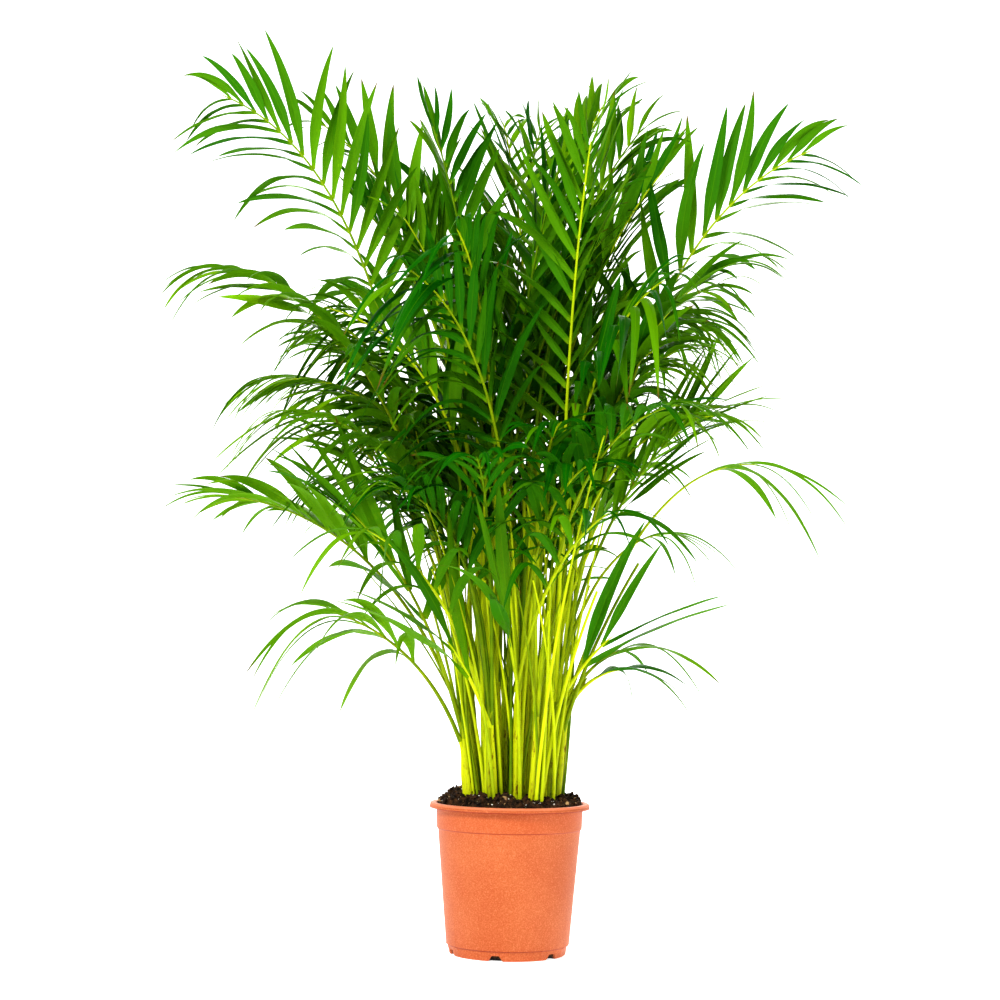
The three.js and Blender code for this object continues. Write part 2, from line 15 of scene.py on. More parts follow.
import bpy
import numpy as np
from mathutils import Matrix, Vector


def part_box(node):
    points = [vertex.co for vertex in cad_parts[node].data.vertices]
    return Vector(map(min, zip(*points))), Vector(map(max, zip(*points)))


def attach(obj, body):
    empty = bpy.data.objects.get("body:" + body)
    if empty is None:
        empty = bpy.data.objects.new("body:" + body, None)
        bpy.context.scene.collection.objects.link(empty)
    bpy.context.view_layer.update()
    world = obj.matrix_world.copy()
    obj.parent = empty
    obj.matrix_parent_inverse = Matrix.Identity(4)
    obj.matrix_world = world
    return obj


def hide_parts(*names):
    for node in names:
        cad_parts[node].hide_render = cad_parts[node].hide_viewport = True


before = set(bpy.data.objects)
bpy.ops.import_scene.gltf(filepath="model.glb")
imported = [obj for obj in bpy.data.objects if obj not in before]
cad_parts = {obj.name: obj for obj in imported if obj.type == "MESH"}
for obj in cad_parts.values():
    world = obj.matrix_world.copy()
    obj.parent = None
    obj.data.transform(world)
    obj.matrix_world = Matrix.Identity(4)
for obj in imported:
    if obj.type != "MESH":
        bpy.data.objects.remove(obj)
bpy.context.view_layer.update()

MM = 0.001
TAU = 2 * math.pi
nodes = sorted(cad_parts)

# %% [markdown]
# ## Shader maths as plain expressions
#
# A finish is a formula: how green, how dry, how rough a place is. Blender builds formulas
# from nodes, which are slow to read in a script. This small class wraps one output of a
# node, so that `1 - mask * 0.4` adds the Math nodes by itself. Any other node comes from
# `add`, and colours are mixed by `blend`, because a Math node would turn them grey.

# %% A wire that can be used in sums


class Wire:
    """One output of a shader node. Sums and products of wires add Math nodes."""

    def __init__(self, tree, socket=None):
        self.tree, self.socket = tree, socket

    def add(self, kind, settings=None, inputs=None, output=0):
        """Adds a node, changes its settings, then sets or links its sockets."""
        node = self.tree.nodes.new("ShaderNode" + kind)
        for name, value in (settings or {}).items():
            setattr(node, name, value)
        for name, value in (inputs or {}).items():
            if isinstance(value, Wire):
                self.tree.links.new(value.socket, node.inputs[name])
            else:
                node.inputs[name].default_value = value
        return Wire(self.tree, node.outputs[output]) if node.outputs else None

    def math(self, operation, first, *others):
        return self.add("Math", {"operation": operation}, dict(enumerate((first, *others))))

    def __add__(self, other):
        return self.math("ADD", self, other)

    def __sub__(self, other):
        return self.math("SUBTRACT", self, other)

    def __rsub__(self, other):
        return self.math("SUBTRACT", other, self)

    def __mul__(self, other):
        return self.math("MULTIPLY", self, other)

    def __abs__(self):
        return self.math("ABSOLUTE", self)

    __radd__, __rmul__ = __add__, __mul__

    def ramp(self, low, high):
        """0 below low and 1 above high, with a smooth rise between them."""
        limits = {"Value": self, "From Min": low, "From Max": high}
        return self.add("MapRange", {"interpolation_type": "SMOOTHSTEP"}, limits)

    def blend(self, one, other):
        """Colour one where the wire is 0 and the other where it is 1."""
        return self.add("Mix", {"data_type": "RGBA"}, {0: self, 6: one, 7: other}, output=2)

    def noise(self, scale, detail=2.0, rough=0.5):
        """A cloudy pattern from 0 to 1 that reads this wire as its place."""
        sizes = {"Vector": self, "Scale": scale, "Detail": detail, "Roughness": rough}
        return self.add("TexNoise", inputs=sizes)

    def drawn(self):
        """A random number from 0 to 1, the same wherever this wire's number is the same."""
        return self.add("TexWhiteNoise", {"noise_dimensions": "1D"}, {"W": self})

    def stretched(self, *scale):
        """The wire's place, multiplied along each axis."""
        return self.add("Mapping", inputs={"Vector": self, "Scale": scale})

    def axes(self, count=3):
        """The first coordinates of the wire's place, each as a wire of its own."""
        split = self.add("SeparateXYZ", inputs={"Vector": self}).socket.node
        return [Wire(self.tree, split.outputs[i]) for i in range(count)]

    def bump(self, distance, strength=1.0):
        """A normal that makes this height, from 0 to 1, stand out by a distance in metres."""
        sizes = {"Height": self, "Distance": distance, "Strength": strength}
        return self.add("Bump", inputs=sizes)


def paint(red, green, blue):
    """A colour given as a photo editor shows it, from 0 to 255, as Blender's linear colour."""
    shown = np.array([red, green, blue]) / 255
    return (*np.where(shown > 0.04, ((shown + 0.055) / 1.055) ** 2.4, shown / 12.92), 1.0)


def new_material(name):
    """An empty node material, and the wire that its nodes are added from."""
    material = bpy.data.materials.new(name)
    material.use_nodes = True
    material.node_tree.nodes.clear()
    return material, Wire(material.node_tree)


def object_place(start):
    """Where a point is, in metres, in the coordinates of its object."""
    return start.add("TexCoord", output=3)


print("middle grey is", round(paint(128, 128, 128)[0], 3), "in linear light")

# %% [markdown]
# ## Surfaces as closed tubes
#
# A stem, a leaflet, a crumb of soil and even the pot are the same kind of shape: rings of
# points, one after another, joined into a skin and closed at both ends. So one function
# makes every piece. It takes whole arrays, because a loop over a hundred thousand points
# would take minutes in Python and takes no time in numpy.

# %% Skins from rings


def corners_of(grid):
    """The four corners of every cell of grids that run over axes 1 and 2."""
    low, high = grid[:, :-1], grid[:, 1:]
    return np.stack([low[:, :, :-1], low[:, :, 1:], high[:, :, 1:], high[:, :, :-1]], axis=3)


def skin(name, points, maps, material, replaced):
    """Joins closed tubes into one mesh object and hands it to the frame.

    points[t, i, j] is point j of ring i of tube t, with j running anticlockwise as seen
    from the tube's far end. maps[name][t, i, j] is the point's place on a UV map, with one
    column more than the ring has points, so that the seam closes.
    """
    tubes, rings, around, _ = points.shape
    index = np.arange(tubes * rings * around).reshape(tubes, rings, around)
    seam = np.concatenate([index, index[:, :, :1]], axis=2)
    quads = corners_of(seam).reshape(-1, 4)
    caps = np.concatenate([index[:, 0, ::-1], index[:, -1]])
    mesh = bpy.data.meshes.new(name)
    mesh.from_pydata(points.reshape(-1, 3).tolist(), [], quads.tolist() + caps.tolist())
    for label, places in maps.items():
        ends = np.concatenate([places[:, 0, -2::-1], places[:, -1, :-1]]).reshape(-1, 2)
        flat = np.concatenate([corners_of(places).reshape(-1, 2), ends])
        mesh.uv_layers.new(name=label).uv.foreach_set("vector", flat.astype(np.float32).ravel())
    mesh.polygons.foreach_set("use_smooth", np.ones(len(mesh.polygons), bool))
    mesh.set_sharp_from_angle(angle=math.radians(34))
    mesh.materials.append(material)
    piece = bpy.data.objects.new(name, mesh)
    bpy.context.scene.collection.objects.link(piece)
    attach(piece, "root")
    if replaced:
        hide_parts(*replaced)
    return piece


def strip_map(points):
    """A map for the bake: the tubes lie side by side, and their rings run up the map."""
    tubes, rings, around, _ = points.shape
    across = (np.arange(tubes)[:, None] + 0.04 + 0.92 * np.linspace(0, 1, around + 1)) / tubes
    along = 0.01 + 0.98 * np.linspace(0, 1, rings)
    return np.stack(np.broadcast_arrays(across[:, None], along[None, :, None]), axis=-1)


print("3 rings of 4 points have", corners_of(np.zeros((1, 3, 5))).size // 4, "cells")

# %% [markdown]
# ## The nursery pot
#
# The pot is one injection-moulded shell. Its outline, turned round its axis, gives the
# shell at once, inside and outside, and a short curve in each corner catches the light as
# moulded plastic does. A lathe can't make the drain notches, so the skin's lowest rings are
# lifted where a notch is: at a place with ceiling c, a point at height z goes to max(z, c).

# %% The pot's outline

# Heights and radii are in millimetres.
_, pot_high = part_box("pot")
POT_TOP = pot_high.z / MM
RIM = pot_high.x / MM
LIP_FOOT = POT_TOP - 7
STEP = POT_TOP - 33
LEDGE = 13
POT_WALL, FLOOR_TOP, CORNER = 1.6, 2.4, 1.1


def unit(vectors):
    return vectors / np.linalg.norm(vectors, axis=-1, keepdims=True)


def wall_radius(height):
    """The wall's outside, which widens evenly from the ledge up to the step."""
    return 80.1 + (height - LEDGE) * 0.0885


def band_radius(height):
    """The outside of the band between the step and the rim, which stands more upright."""
    return 95 + (height - STEP) * 0.035


def rounded(outline, radius, steps=4):
    """Swaps each corner for a curve (1-u)^2 a + 2u(1-u) corner + u^2 b, u from 0 to 1."""
    outline = np.array(outline, float)
    before, corner, after = outline[:-2], outline[1:-1], outline[2:]
    reach = [np.minimum(radius, 0.4 * np.linalg.norm(p - corner, axis=1))[:, None]
             for p in (before, after)]
    a = corner + unit(before - corner) * reach[0]
    b = corner + unit(after - corner) * reach[1]
    u = np.linspace(0, 1, steps)[:, None, None]
    curve = (1 - u) ** 2 * a + 2 * u * (1 - u) * corner + u**2 * b
    return np.concatenate([outline[:1], curve.transpose(1, 0, 2).reshape(-1, 2), outline[-1:]])


# Radius and height, from the middle of the underside over the base ring and the rim to the
# middle of the floor.
pot_outline = rounded([
    (1, 0.9), (66, 0.6), (68, 0), (74.4, 0), (75.8, 1.4), (77.6, LEDGE - 0.8),
    (wall_radius(LEDGE), LEDGE), (wall_radius(STEP / 2), STEP / 2),
    (wall_radius(STEP - 1), STEP - 1.4), (band_radius(STEP + 1), STEP + 0.2),
    (band_radius(POT_TOP - 4), POT_TOP - 4.2), (band_radius(POT_TOP) + 1.5, POT_TOP - 2.4),
    (RIM - 1.7, POT_TOP - 2.2), (RIM - 1.7, LIP_FOOT), (RIM - 0.1, LIP_FOOT),
    (RIM - 0.1, LIP_FOOT + 2.6), (RIM - 0.9, LIP_FOOT + 3.2), (RIM - 0.7, LIP_FOOT + 4.2),
    (RIM - 0.9, POT_TOP - 0.9), (RIM - 2.2, POT_TOP), (band_radius(POT_TOP), POT_TOP - 0.4),
    (band_radius(STEP + 1) - POT_WALL, STEP + 1.4), (wall_radius(STEP) - POT_WALL, STEP - 2),
    (wall_radius(LEDGE + 2) - POT_WALL, LEDGE + 2.4), (75.8, LEDGE + 1), (73.6, 3),
    (66, FLOOR_TOP), (1, FLOOR_TOP),
], CORNER)
print("the pot's outline has", len(pot_outline), "points")

# %% Turn the outline

POT_SIDES = 360
RING_INSIDE, RING_OUTSIDE = 67, 76.0
NOTCHES, NOTCH_TOP, NOTCH_FOOT, NOTCH_HEAD = 6, 7.2, 9.5, 5.0
NUBS, NUB_WIDE, NUB_TALL, NUB_DEEP = 12, 1.7, 1.2, 1.3


def ease(values, low, high):
    """0 below low and 1 above high, with a smooth rise between them."""
    share = np.clip((values - low) / (high - low), 0, 1)
    return share * share * (3 - 2 * share)


def from_mark(angle, first, count):
    """How far, along the base ring, each angle is from the nearest of evenly spaced marks."""
    part = TAU / count
    return RING_OUTSIDE * ((angle - math.radians(first) + part / 2) % part - part / 2)


def notch_ceiling(angle):
    """Height of the notch above each angle: full over its head, falling to 0 at its foot."""
    away = abs(from_mark(angle, -12, NOTCHES))
    return NOTCH_TOP * np.clip((NOTCH_FOOT - away) / (NOTCH_FOOT - NOTCH_HEAD), 0, 1)


turn = np.linspace(0, TAU, POT_SIDES, endpoint=False)
# Notches and nubs are counted from the pot's front, -Y, which is three quarters of a turn.
from_front = turn - 0.75 * TAU
ring_radius = np.repeat(pot_outline[:, :1], POT_SIDES, axis=1)
ring_height = np.repeat(pot_outline[:, 1:], POT_SIDES, axis=1)
inside = np.arange(len(pot_outline))[:, None] > np.argmax(pot_outline[:, 1])
ceiling = notch_ceiling(from_front)[None] * (ring_radius > RING_INSIDE)
ring_height = np.maximum(ring_height, (ceiling + POT_WALL * inside) * (ceiling > 0))
# A nub stands out by exp(-(across / wide)^4) exp(-(up / tall)^4) of its depth.
nub = np.exp(-(from_mark(from_front, 4, NUBS) / NUB_WIDE) ** 4)[None]
nub = nub * np.exp(-((ring_height - (LEDGE - 0.8)) / NUB_TALL) ** 4) * ~inside
# No moulded rim is quite round: this one has three waves of a quarter of a millimetre.
warp = 0.25 * np.sin(3 * turn + 1.0) * ease(ring_height, 100, POT_TOP)
ring_radius = ring_radius + NUB_DEEP * nub + warp
ring_x, ring_y = ring_radius * np.cos(turn), ring_radius * np.sin(turn)
pot_points = np.stack([ring_x, ring_y, ring_height], axis=-1)[None] * MM
print("the pot is", round(POT_TOP), "mm high and", round(2 * RIM), "mm across its rim")

# %% [markdown]
# The plastic is coloured right through. It has the fine grain of the mould and pale speckles
# where it was rubbed. A painted highlight makes the rim's top edge paler, and painted shade
# darkens the creases under the lip, at the step and along the ledge, and softly the band
# between the step and the lip. Inside the notches painted shade makes it almost black. All of
# this follows heights and noise, so it needs no picture and no map.

# %% The pot's plastic


def pot_material():
    material, start = new_material("pot_plastic")
    place = object_place(start)
    x, y, z = place.axes()
    grain, speckle = place.noise(900, 2, 0.6), place.noise(620, 3, 0.7)
    clouds = place.noise(14, 3, 0.55)
    rubbed = (clouds * 0.3 + speckle * 0.8).ramp(0.42, 0.72)
    colour = rubbed.blend(paint(174, 82, 36), paint(192, 106, 60))
    colour = (speckle.ramp(0.52, 0.7) * 0.3).blend(colour, paint(230, 142, 98))

    def line(height, wide):
        """1 at a height in millimetres, falling to 0 at half the line's width above and below."""
        return 1 - abs(z - height * MM).ramp(0.0, wide / 2 * MM)

    # Painted highlight: the rim's top edge is painted paler, where the light catches it.
    edge = z.ramp((POT_TOP - 4.2) * MM, (POT_TOP - 1.2) * MM)
    colour = (edge * 0.8).blend(colour, paint(216, 124, 88))
    # Painted shade: dark lines in the creases under the lip, at the step and along the ledge.
    painted_crease_shade = line(LIP_FOOT, 3.4) + line(STEP - 0.4, 2.2) * 0.8 + line(LEDGE - 0.2, 2.6) * 0.8
    colour = painted_crease_shade.blend(colour, paint(132, 36, 14))
    # Painted shade: a soft darker band from just under the step up to the lip's foot, where the lip
    # shades the band.
    painted_lip_shade = z.ramp((STEP - 12) * MM, (STEP + 6) * MM)
    painted_lip_shade = painted_lip_shade * (1 - z.ramp(LIP_FOOT * MM, (LIP_FOOT + 1) * MM))
    colour = (painted_lip_shade * 0.12).blend(colour, paint(200, 74, 28))
    # Painted shade: the floor's underside inside the base ring, which shows through the notches, is
    # painted almost black.
    reach = start.math("SQRT", x * x + y * y)
    under = (1 - reach.ramp(0.070, 0.0745)) * (1 - z.ramp(0.0075, 0.009))
    colour = under.blend(colour, paint(26, 16, 10))
    shader = start.add("BsdfPrincipled", inputs={
        "Base Color": colour, "Roughness": 0.46 + grain * 0.14, "Normal": grain.bump(0.00016, 0.6),
        "Specular IOR Level": 0.3, "Subsurface Weight": 0.05, "Subsurface Scale": 0.003,
    })
    start.add("OutputMaterial", inputs={"Surface": shader})
    return material


pot_finish = pot_material()
pot = skin("pot_shell", pot_points, {"pot": strip_map(pot_points)}, pot_finish, ["pot"])
print(pot.name, "has", len(pot.data.polygons), "faces")

# %% [markdown]
# ## The potting mix
#
# Potting mix is fibres, bark and white grit. The bed is a skin whose top rings follow the
# frame's heaped soil, broken up by lumps of three sizes. On it lie loose crumbs, which give
# the ragged edge that a smooth bed can't. They are scattered small shapes of a few dozen
# faces each.

# %% Merge a frame node's triangles


def net(node):
    """A frame node's corners and triangles, with the corners that share a place merged."""
    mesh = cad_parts[node].data
    places = np.empty(len(mesh.vertices) * 3, np.float32)
    mesh.vertices.foreach_get("co", places)
    used = np.empty(len(mesh.loops), np.int32)
    mesh.loops.foreach_get("vertex_index", used)
    corners, merged = np.unique(places.reshape(-1, 3).round(5), axis=0, return_inverse=True)
    return corners.astype(float), merged.reshape(-1)[used].reshape(-1, 3)


soil_corners, soil_faces = net("soil")
print("the frame's soil has", len(soil_corners), "corners and", len(soil_faces), "triangles")

# %% The bed of soil

_, soil_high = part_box("soil")
BED_RADIUS = soil_high.x
HEAP_DEPTH = 0.022
heap = soil_corners[soil_corners[:, 2] > soil_high.z - HEAP_DEPTH]
# Each mound's place, height and width in millimetres.
MOUNDS = np.array([
    (-62, 35, 6, 34), (66, 20, 3, 25), (-8, -60, 7, 14), (38, -56, 7, 13), (-34, -48, 4, 12),
])
# Radius and height in millimetres of the bed's underside and side, just inside the pot.
BED_SIDE = np.array([
    (2, 3.2), (72.5, 3.6), (wall_radius(16) - 2.2, 16), (wall_radius(158) - 2.2, 158),
    (BED_RADIUS / MM, 166),
])


def ripple(places, size, seed, waves=7):
    """Gentle lumps between about -1 and 1: a mean of sine waves that run in random ways."""
    chance = np.random.default_rng(seed)
    ways = unit(chance.normal(size=(waves, 3))) * TAU / size
    phase = chance.uniform(0, TAU, waves)
    return np.sin(places @ ways.T + phase).sum(-1) / math.sqrt(waves)


def bed_height(x, y):
    """Height of the frame's soil: a mean of its top corners, the near ones counting most."""
    away = (x[..., None] - heap[:, 0]) ** 2 + (y[..., None] - heap[:, 1]) ** 2
    weight = 1 / (away + 1e-5) ** 2
    return (weight * heap[:, 2]).sum(-1) / weight.sum(-1)


def crumbly(x, y):
    """The bed's height with lumps of 30, 12 and 5 mm on it, and the mounds between the stems.

    A mound of height h and width w stands h exp(-(distance / w)^2) above the bed.
    """
    place = np.stack([x, y, np.zeros_like(x)], axis=-1)
    lumps = (2.2 * ripple(place, 0.030, 1) + 1.9 * ripple(place, 0.012, 2)
             + 1.2 * ripple(place, 0.005, 3, waves=11))
    away = (x[..., None] / MM - MOUNDS[:, 0]) ** 2 + (y[..., None] / MM - MOUNDS[:, 1]) ** 2
    mounds = (MOUNDS[:, 2] * np.exp(-away / MOUNDS[:, 3] ** 2)).sum(-1)
    return bed_height(x, y) + (lumps + mounds) * MM


def rings_of(reach, height, bearing):
    """Level rings: at bearing a, a point is (reach cos a, reach sin a, height)."""
    x, y = reach * np.cos(bearing), reach * np.sin(bearing)
    return np.stack(np.broadcast_arrays(x, y, height), axis=-1)


bed_turn = np.linspace(0, TAU, 240, endpoint=False)
top_reach = np.linspace(1, 0.006, 90)[:, None] * BED_RADIUS
top_height = crumbly(top_reach * np.cos(bed_turn), top_reach * np.sin(bed_turn))
side_rings = rings_of(BED_SIDE[:, :1] * MM, BED_SIDE[:, 1:] * MM, bed_turn)
bed_points = np.concatenate([side_rings, rings_of(top_reach, top_height, bed_turn)])[None]
print("the bed of soil rises to", round(bed_points[..., 2].max() / MM), "mm")

# %% [markdown]
# The mix is almost black where it is damp, brown on its dry tips, and full of paler fibres.
# A picture of soil would repeat and need a map, so noise of two sizes gives the lumps, and
# noise that is squeezed along one axis gives the fibres.

# %% The soil's finish


def soil_material():
    material, start = new_material("potting_mix")
    place = object_place(start)
    fine, coarse = place.noise(700, 4, 0.65), place.noise(120, 3, 0.6)
    fibres = place.stretched(1, 1, 3).noise(330, 2, 0.7)
    colour = coarse.ramp(0.38, 0.72).blend(paint(22, 11, 4), paint(78, 50, 27))
    colour = (fine.ramp(0.56, 0.7) * 0.6).blend(colour, paint(128, 92, 58))
    colour = (fibres.ramp(0.66, 0.74) * 0.5).blend(colour, paint(146, 112, 76))
    height = fine * 0.5 + coarse * 0.5
    shader = start.add("BsdfPrincipled", inputs={
        "Base Color": colour, "Roughness": 0.82 + fine * 0.15, "Normal": height.bump(0.0012, 0.8),
        "Specular IOR Level": 0.25,
    })
    start.add("OutputMaterial", inputs={"Surface": shader})
    return material


def grit_material(name, dark, light, rough):
    material, start = new_material(name)
    cloud = object_place(start).noise(420, 3, 0.6)
    shader = start.add("BsdfPrincipled", inputs={
        "Base Color": cloud.ramp(0.3, 0.65).blend(dark, light), "Roughness": rough + cloud * 0.1,
        "Normal": cloud.bump(0.0006, 0.6),
    })
    start.add("OutputMaterial", inputs={"Surface": shader})
    return material


soil_finish = soil_material()
bed = skin("soil_bed", bed_points, {"soil": strip_map(bed_points)}, soil_finish, ["soil"])
print(bed.name, "has", len(bed.data.polygons), "faces")

# %% [markdown]
# A crumb is a ball squeezed along three random axes and dented at every point. One crumb
# could be copied, but then all would be alike, so `scatter` draws them all as one array:
# crumb, ring, point. The square root spreads them evenly over the bed, and the power makes
# most of them small and a few large.

# %% Loose crumbs


def scatter(count, seed, sizes, squash, rings=5, around=6):
    """Dented balls on the bed.

    At latitude b and angle a, a point is the ball's (cos b cos a, cos b sin a, sin b), times
    its dent, squash and size, turned at random and moved to its place on the bed.
    """
    chance = np.random.default_rng(seed)
    reach = BED_RADIUS * 0.985 * np.sqrt(chance.uniform(0.02, 1, count))
    bearing = chance.uniform(0, TAU, count)
    x, y = reach * np.cos(bearing), reach * np.sin(bearing)
    size = sizes[0] + (sizes[1] - sizes[0]) * chance.power(0.35, count)
    latitude = np.linspace(-1.25, 1.25, rings)[:, None]
    angle = np.linspace(0, TAU, around, endpoint=False)
    ball = rings_of(np.cos(latitude), np.sin(latitude), angle)
    dent = chance.uniform(0.6, 1.35, (count, rings, around, 1))
    stretch = chance.uniform(squash, 1.0, (count, 1, 1, 3))
    turns = np.linalg.qr(chance.normal(size=(count, 3, 3)))[0]
    turns *= np.sign(np.linalg.det(turns))[:, None, None]
    shape = (ball * dent * stretch * size[:, None, None, None] * MM) @ turns[:, None]
    centre = np.stack([x, y, crumbly(x, y) + size * 0.25 * MM], axis=-1)
    return shape + centre[:, None, None]


def scattered(name, points, material):
    piece = skin(name, points, {"crumb": strip_map(points)}, material, [])
    print(piece.name, "has", len(points), "lumps")


white_finish = grit_material("white_grit", paint(196, 188, 170), paint(250, 248, 240), 0.6)
bark_finish = grit_material("bark", paint(104, 70, 40), paint(196, 158, 108), 0.75)
scattered("soil_crumbs", scatter(1900, 11, (0.6, 4.8), 0.5), soil_finish)
scattered("white_grit", scatter(170, 12, (0.5, 1.6), 0.7), white_finish)
scattered("bark_chips", scatter(130, 13, (1.2, 4.0), 0.18), bark_finish)

# %% [markdown]
# ## The stems
#
# A stem of this palm is a bundle of leaf sheaths, each wrapped round the younger ones, so
# it is a little thicker where a sheath begins and shows a slanting edge where one ends. At
# its top the last sheaths open and let the leaf stalks out. A plain cylinder would look like
# a pipe, so the radius is a formula of height and angle. The stem follows its frame node's
# axis, and one sleeve runs up its side to each stalk that stands on it.

# %% Read where stems and stalks stand

stem_nodes = [name for name in nodes if name.startswith("shoot_")]
frond_nodes = [name for name in nodes if name.startswith("frond_")]


def stem_ends(node):
    """The middle of a stem's foot and of its top: the mean of its lowest and highest corners."""
    corners, _ = net(node)
    order = np.argsort(corners[:, 2])
    return corners[order[:7]].mean(0), corners[order[-7:]].mean(0)


stems = {name: stem_ends(name) for name in stem_nodes}
stem_tops = np.array([stems[name][1] for name in stem_nodes])
print(len(stems), "stems reach up to", round(stem_tops[:, 2].max() / MM), "mm")

# %% [markdown]
# ## Reading a frond
#
# A frond in the frame is a plain net of triangles: three-cornered rings along the stalk,
# and leaflets that are each a root, three blade corners and a tip. Its shape can be read
# from how corners are joined. A leaflet's tip is a corner where only three triangles meet,
# its blade corners are the tip's neighbours, and its root corners are theirs. The stalk's
# rings are found by counting steps from the foot, which is the ring nearest to a stem's top.

# %% Find stalk and leaflets in a net

# A leaflet's tip is farther than this from its blade corners, and the stalk's end is nearer.
TIP_REACH = 0.024


def read_frond(node):
    """The stalk's stations and every leaflet's root, blade corners and tip, as arrays."""
    corners, faces = net(node)
    joined = np.zeros((len(corners), len(corners)), bool)
    for a, b in ((0, 1), (1, 2), (2, 0)):
        joined[faces[:, a], faces[:, b]] = joined[faces[:, b], faces[:, a]] = True
    to_stems = np.linalg.norm(corners[:, None] - stem_tops[None], axis=2)
    foot = np.argsort(to_stems.min(1))[:3]
    meeting = np.bincount(faces.ravel(), minlength=len(corners))
    ends = np.setdiff1d(np.flatnonzero(meeting == 3), foot)
    rings = np.array([np.flatnonzero(joined[end]) for end in ends])
    far = np.linalg.norm(corners[rings].mean(1) - corners[ends], axis=1) > TIP_REACH
    tips, blades = ends[far], rings[far]
    leafy = np.union1d(tips, blades)
    steps = steps_from(foot, joined, leafy)
    stations = [corners[steps == i] for i in range(steps.max() + 1)]
    stalk = np.array([ring.mean(0) for ring in stations])
    radius = [np.linalg.norm(ring - ring.mean(0), axis=1).mean() for ring in stations]
    near = joined[blades].any(1)
    near[:, leafy] = False
    roots = np.array([np.flatnonzero(row) for row in near])
    return {
        "stem": stem_nodes[int(to_stems[foot].mean(0).argmin())], "stalk": stalk,
        "radius": np.array(radius), "tip": corners[tips], "blade": corners[blades],
        "root": corners[roots].mean(1), "step": steps[roots].min(1),
    }


def steps_from(foot, joined, leafy):
    """How many edges each of the stalk's corners is from its foot; -1 for a leaflet's corners."""
    steps = np.full(len(joined), -1)
    steps[foot] = 0
    edge, step = foot, 0
    while len(edge):
        step += 1
        edge = np.setdiff1d(np.flatnonzero(joined[edge].any(0) & (steps < 0)), leafy)
        steps[edge] = step
    return steps


fronds = {name: read_frond(name) for name in frond_nodes}
leaflet_count = sum(len(frond["tip"]) for frond in fronds.values())
print(len(fronds), "fronds carry", leaflet_count, "leaflets")

# %% [markdown]
# ## Rods along a path
#
# Stems, sheaths, stalks and spears are all rods that bend evenly. A rod could be a curve
# object with a bevel, but rings of points go through the same skin as every other piece,
# and their radius can differ from point to point. The stations of a rod are joined by
# cubics, and each point of the path gets a ring square to it.

# %% Paths, rings and maps


def smooth_path(stations, count):
    """Points along cubics through the stations.

    Between stations p and q with slopes m and n, a gap d apart, the point at share u is
    (1+2u)(1-u)^2 p + u(1-u)^2 d m + u^2 (3-2u) q + u^2 (u-1) d n. A station's slope is that
    of its neighbours' line.
    """
    step = np.linalg.norm(np.diff(stations[:, :3], axis=0), axis=1)
    place = np.concatenate([[0], np.cumsum(step)])
    slope = np.gradient(stations, place, axis=0)
    at = np.linspace(0, place[-1], count)
    k = np.clip(np.searchsorted(place, at, side="right") - 1, 0, len(place) - 2)
    gap = (place[k + 1] - place[k])[:, None]
    u = (at - place[k])[:, None] / gap
    start = (1 + 2 * u) * (1 - u) ** 2 * stations[k] + u * (1 - u) ** 2 * gap * slope[k]
    return start + u**2 * (3 - 2 * u) * stations[k + 1] + u**2 * (u - 1) * gap * slope[k + 1]


def tube(path, radius, around):
    """Rings round a path: at angle a, a point is path + radius (cos a side + sin a over).

    side is level and square to the way from the path's foot to its end, and over is square
    to both side and the path.
    """
    reach = path[-1] - path[0]
    level = np.array([-reach[1], reach[0], 0]) + np.array([1e-9, 0, 0])
    along = unit(np.gradient(path, axis=0))
    side = unit(level - along * (along @ level)[:, None])
    over = np.cross(along, side)
    angle = np.linspace(0, TAU, around, endpoint=False)[None, :, None]
    rim = np.cos(angle) * side[:, None] + np.sin(angle) * over[:, None]
    return path[:, None] + rim * radius[:, None, None]


def length_map(points, path, number):
    """A map across a rod's rim and along its length in metres, moved by the rod's number."""
    rings, around, _ = points.shape
    step = np.linalg.norm(np.diff(path, axis=0), axis=1)
    along = np.concatenate([[0], np.cumsum(step)])
    across = np.linspace(0, 1, around + 1) + number
    return np.stack(np.broadcast_arrays(across[None], along[:, None]), axis=-1)[None]


arch = smooth_path(np.array([(0, 0, 0), (0.1, 0, 0.3), (0.4, 0, 0.5)]), 5)
print("an arch through three stations passes", arch.round(3).tolist())

# %% [markdown]
# Stalks and stems are yellow-green and a little waxy, with fine lines along them. Toward
# the foot they carry brown flecks and dry, papery sheath edges, and higher up they turn
# greener. The lines follow the rod's own map, because a pattern in space would cut across
# a bent stalk. Each rod's number draws a tone of its own.

# %% The finish of stalks and stems


def map_axes(start, name):
    """The two numbers of a piece's UV map."""
    return start.add("UVMap", {"uv_map": name}).axes(2)


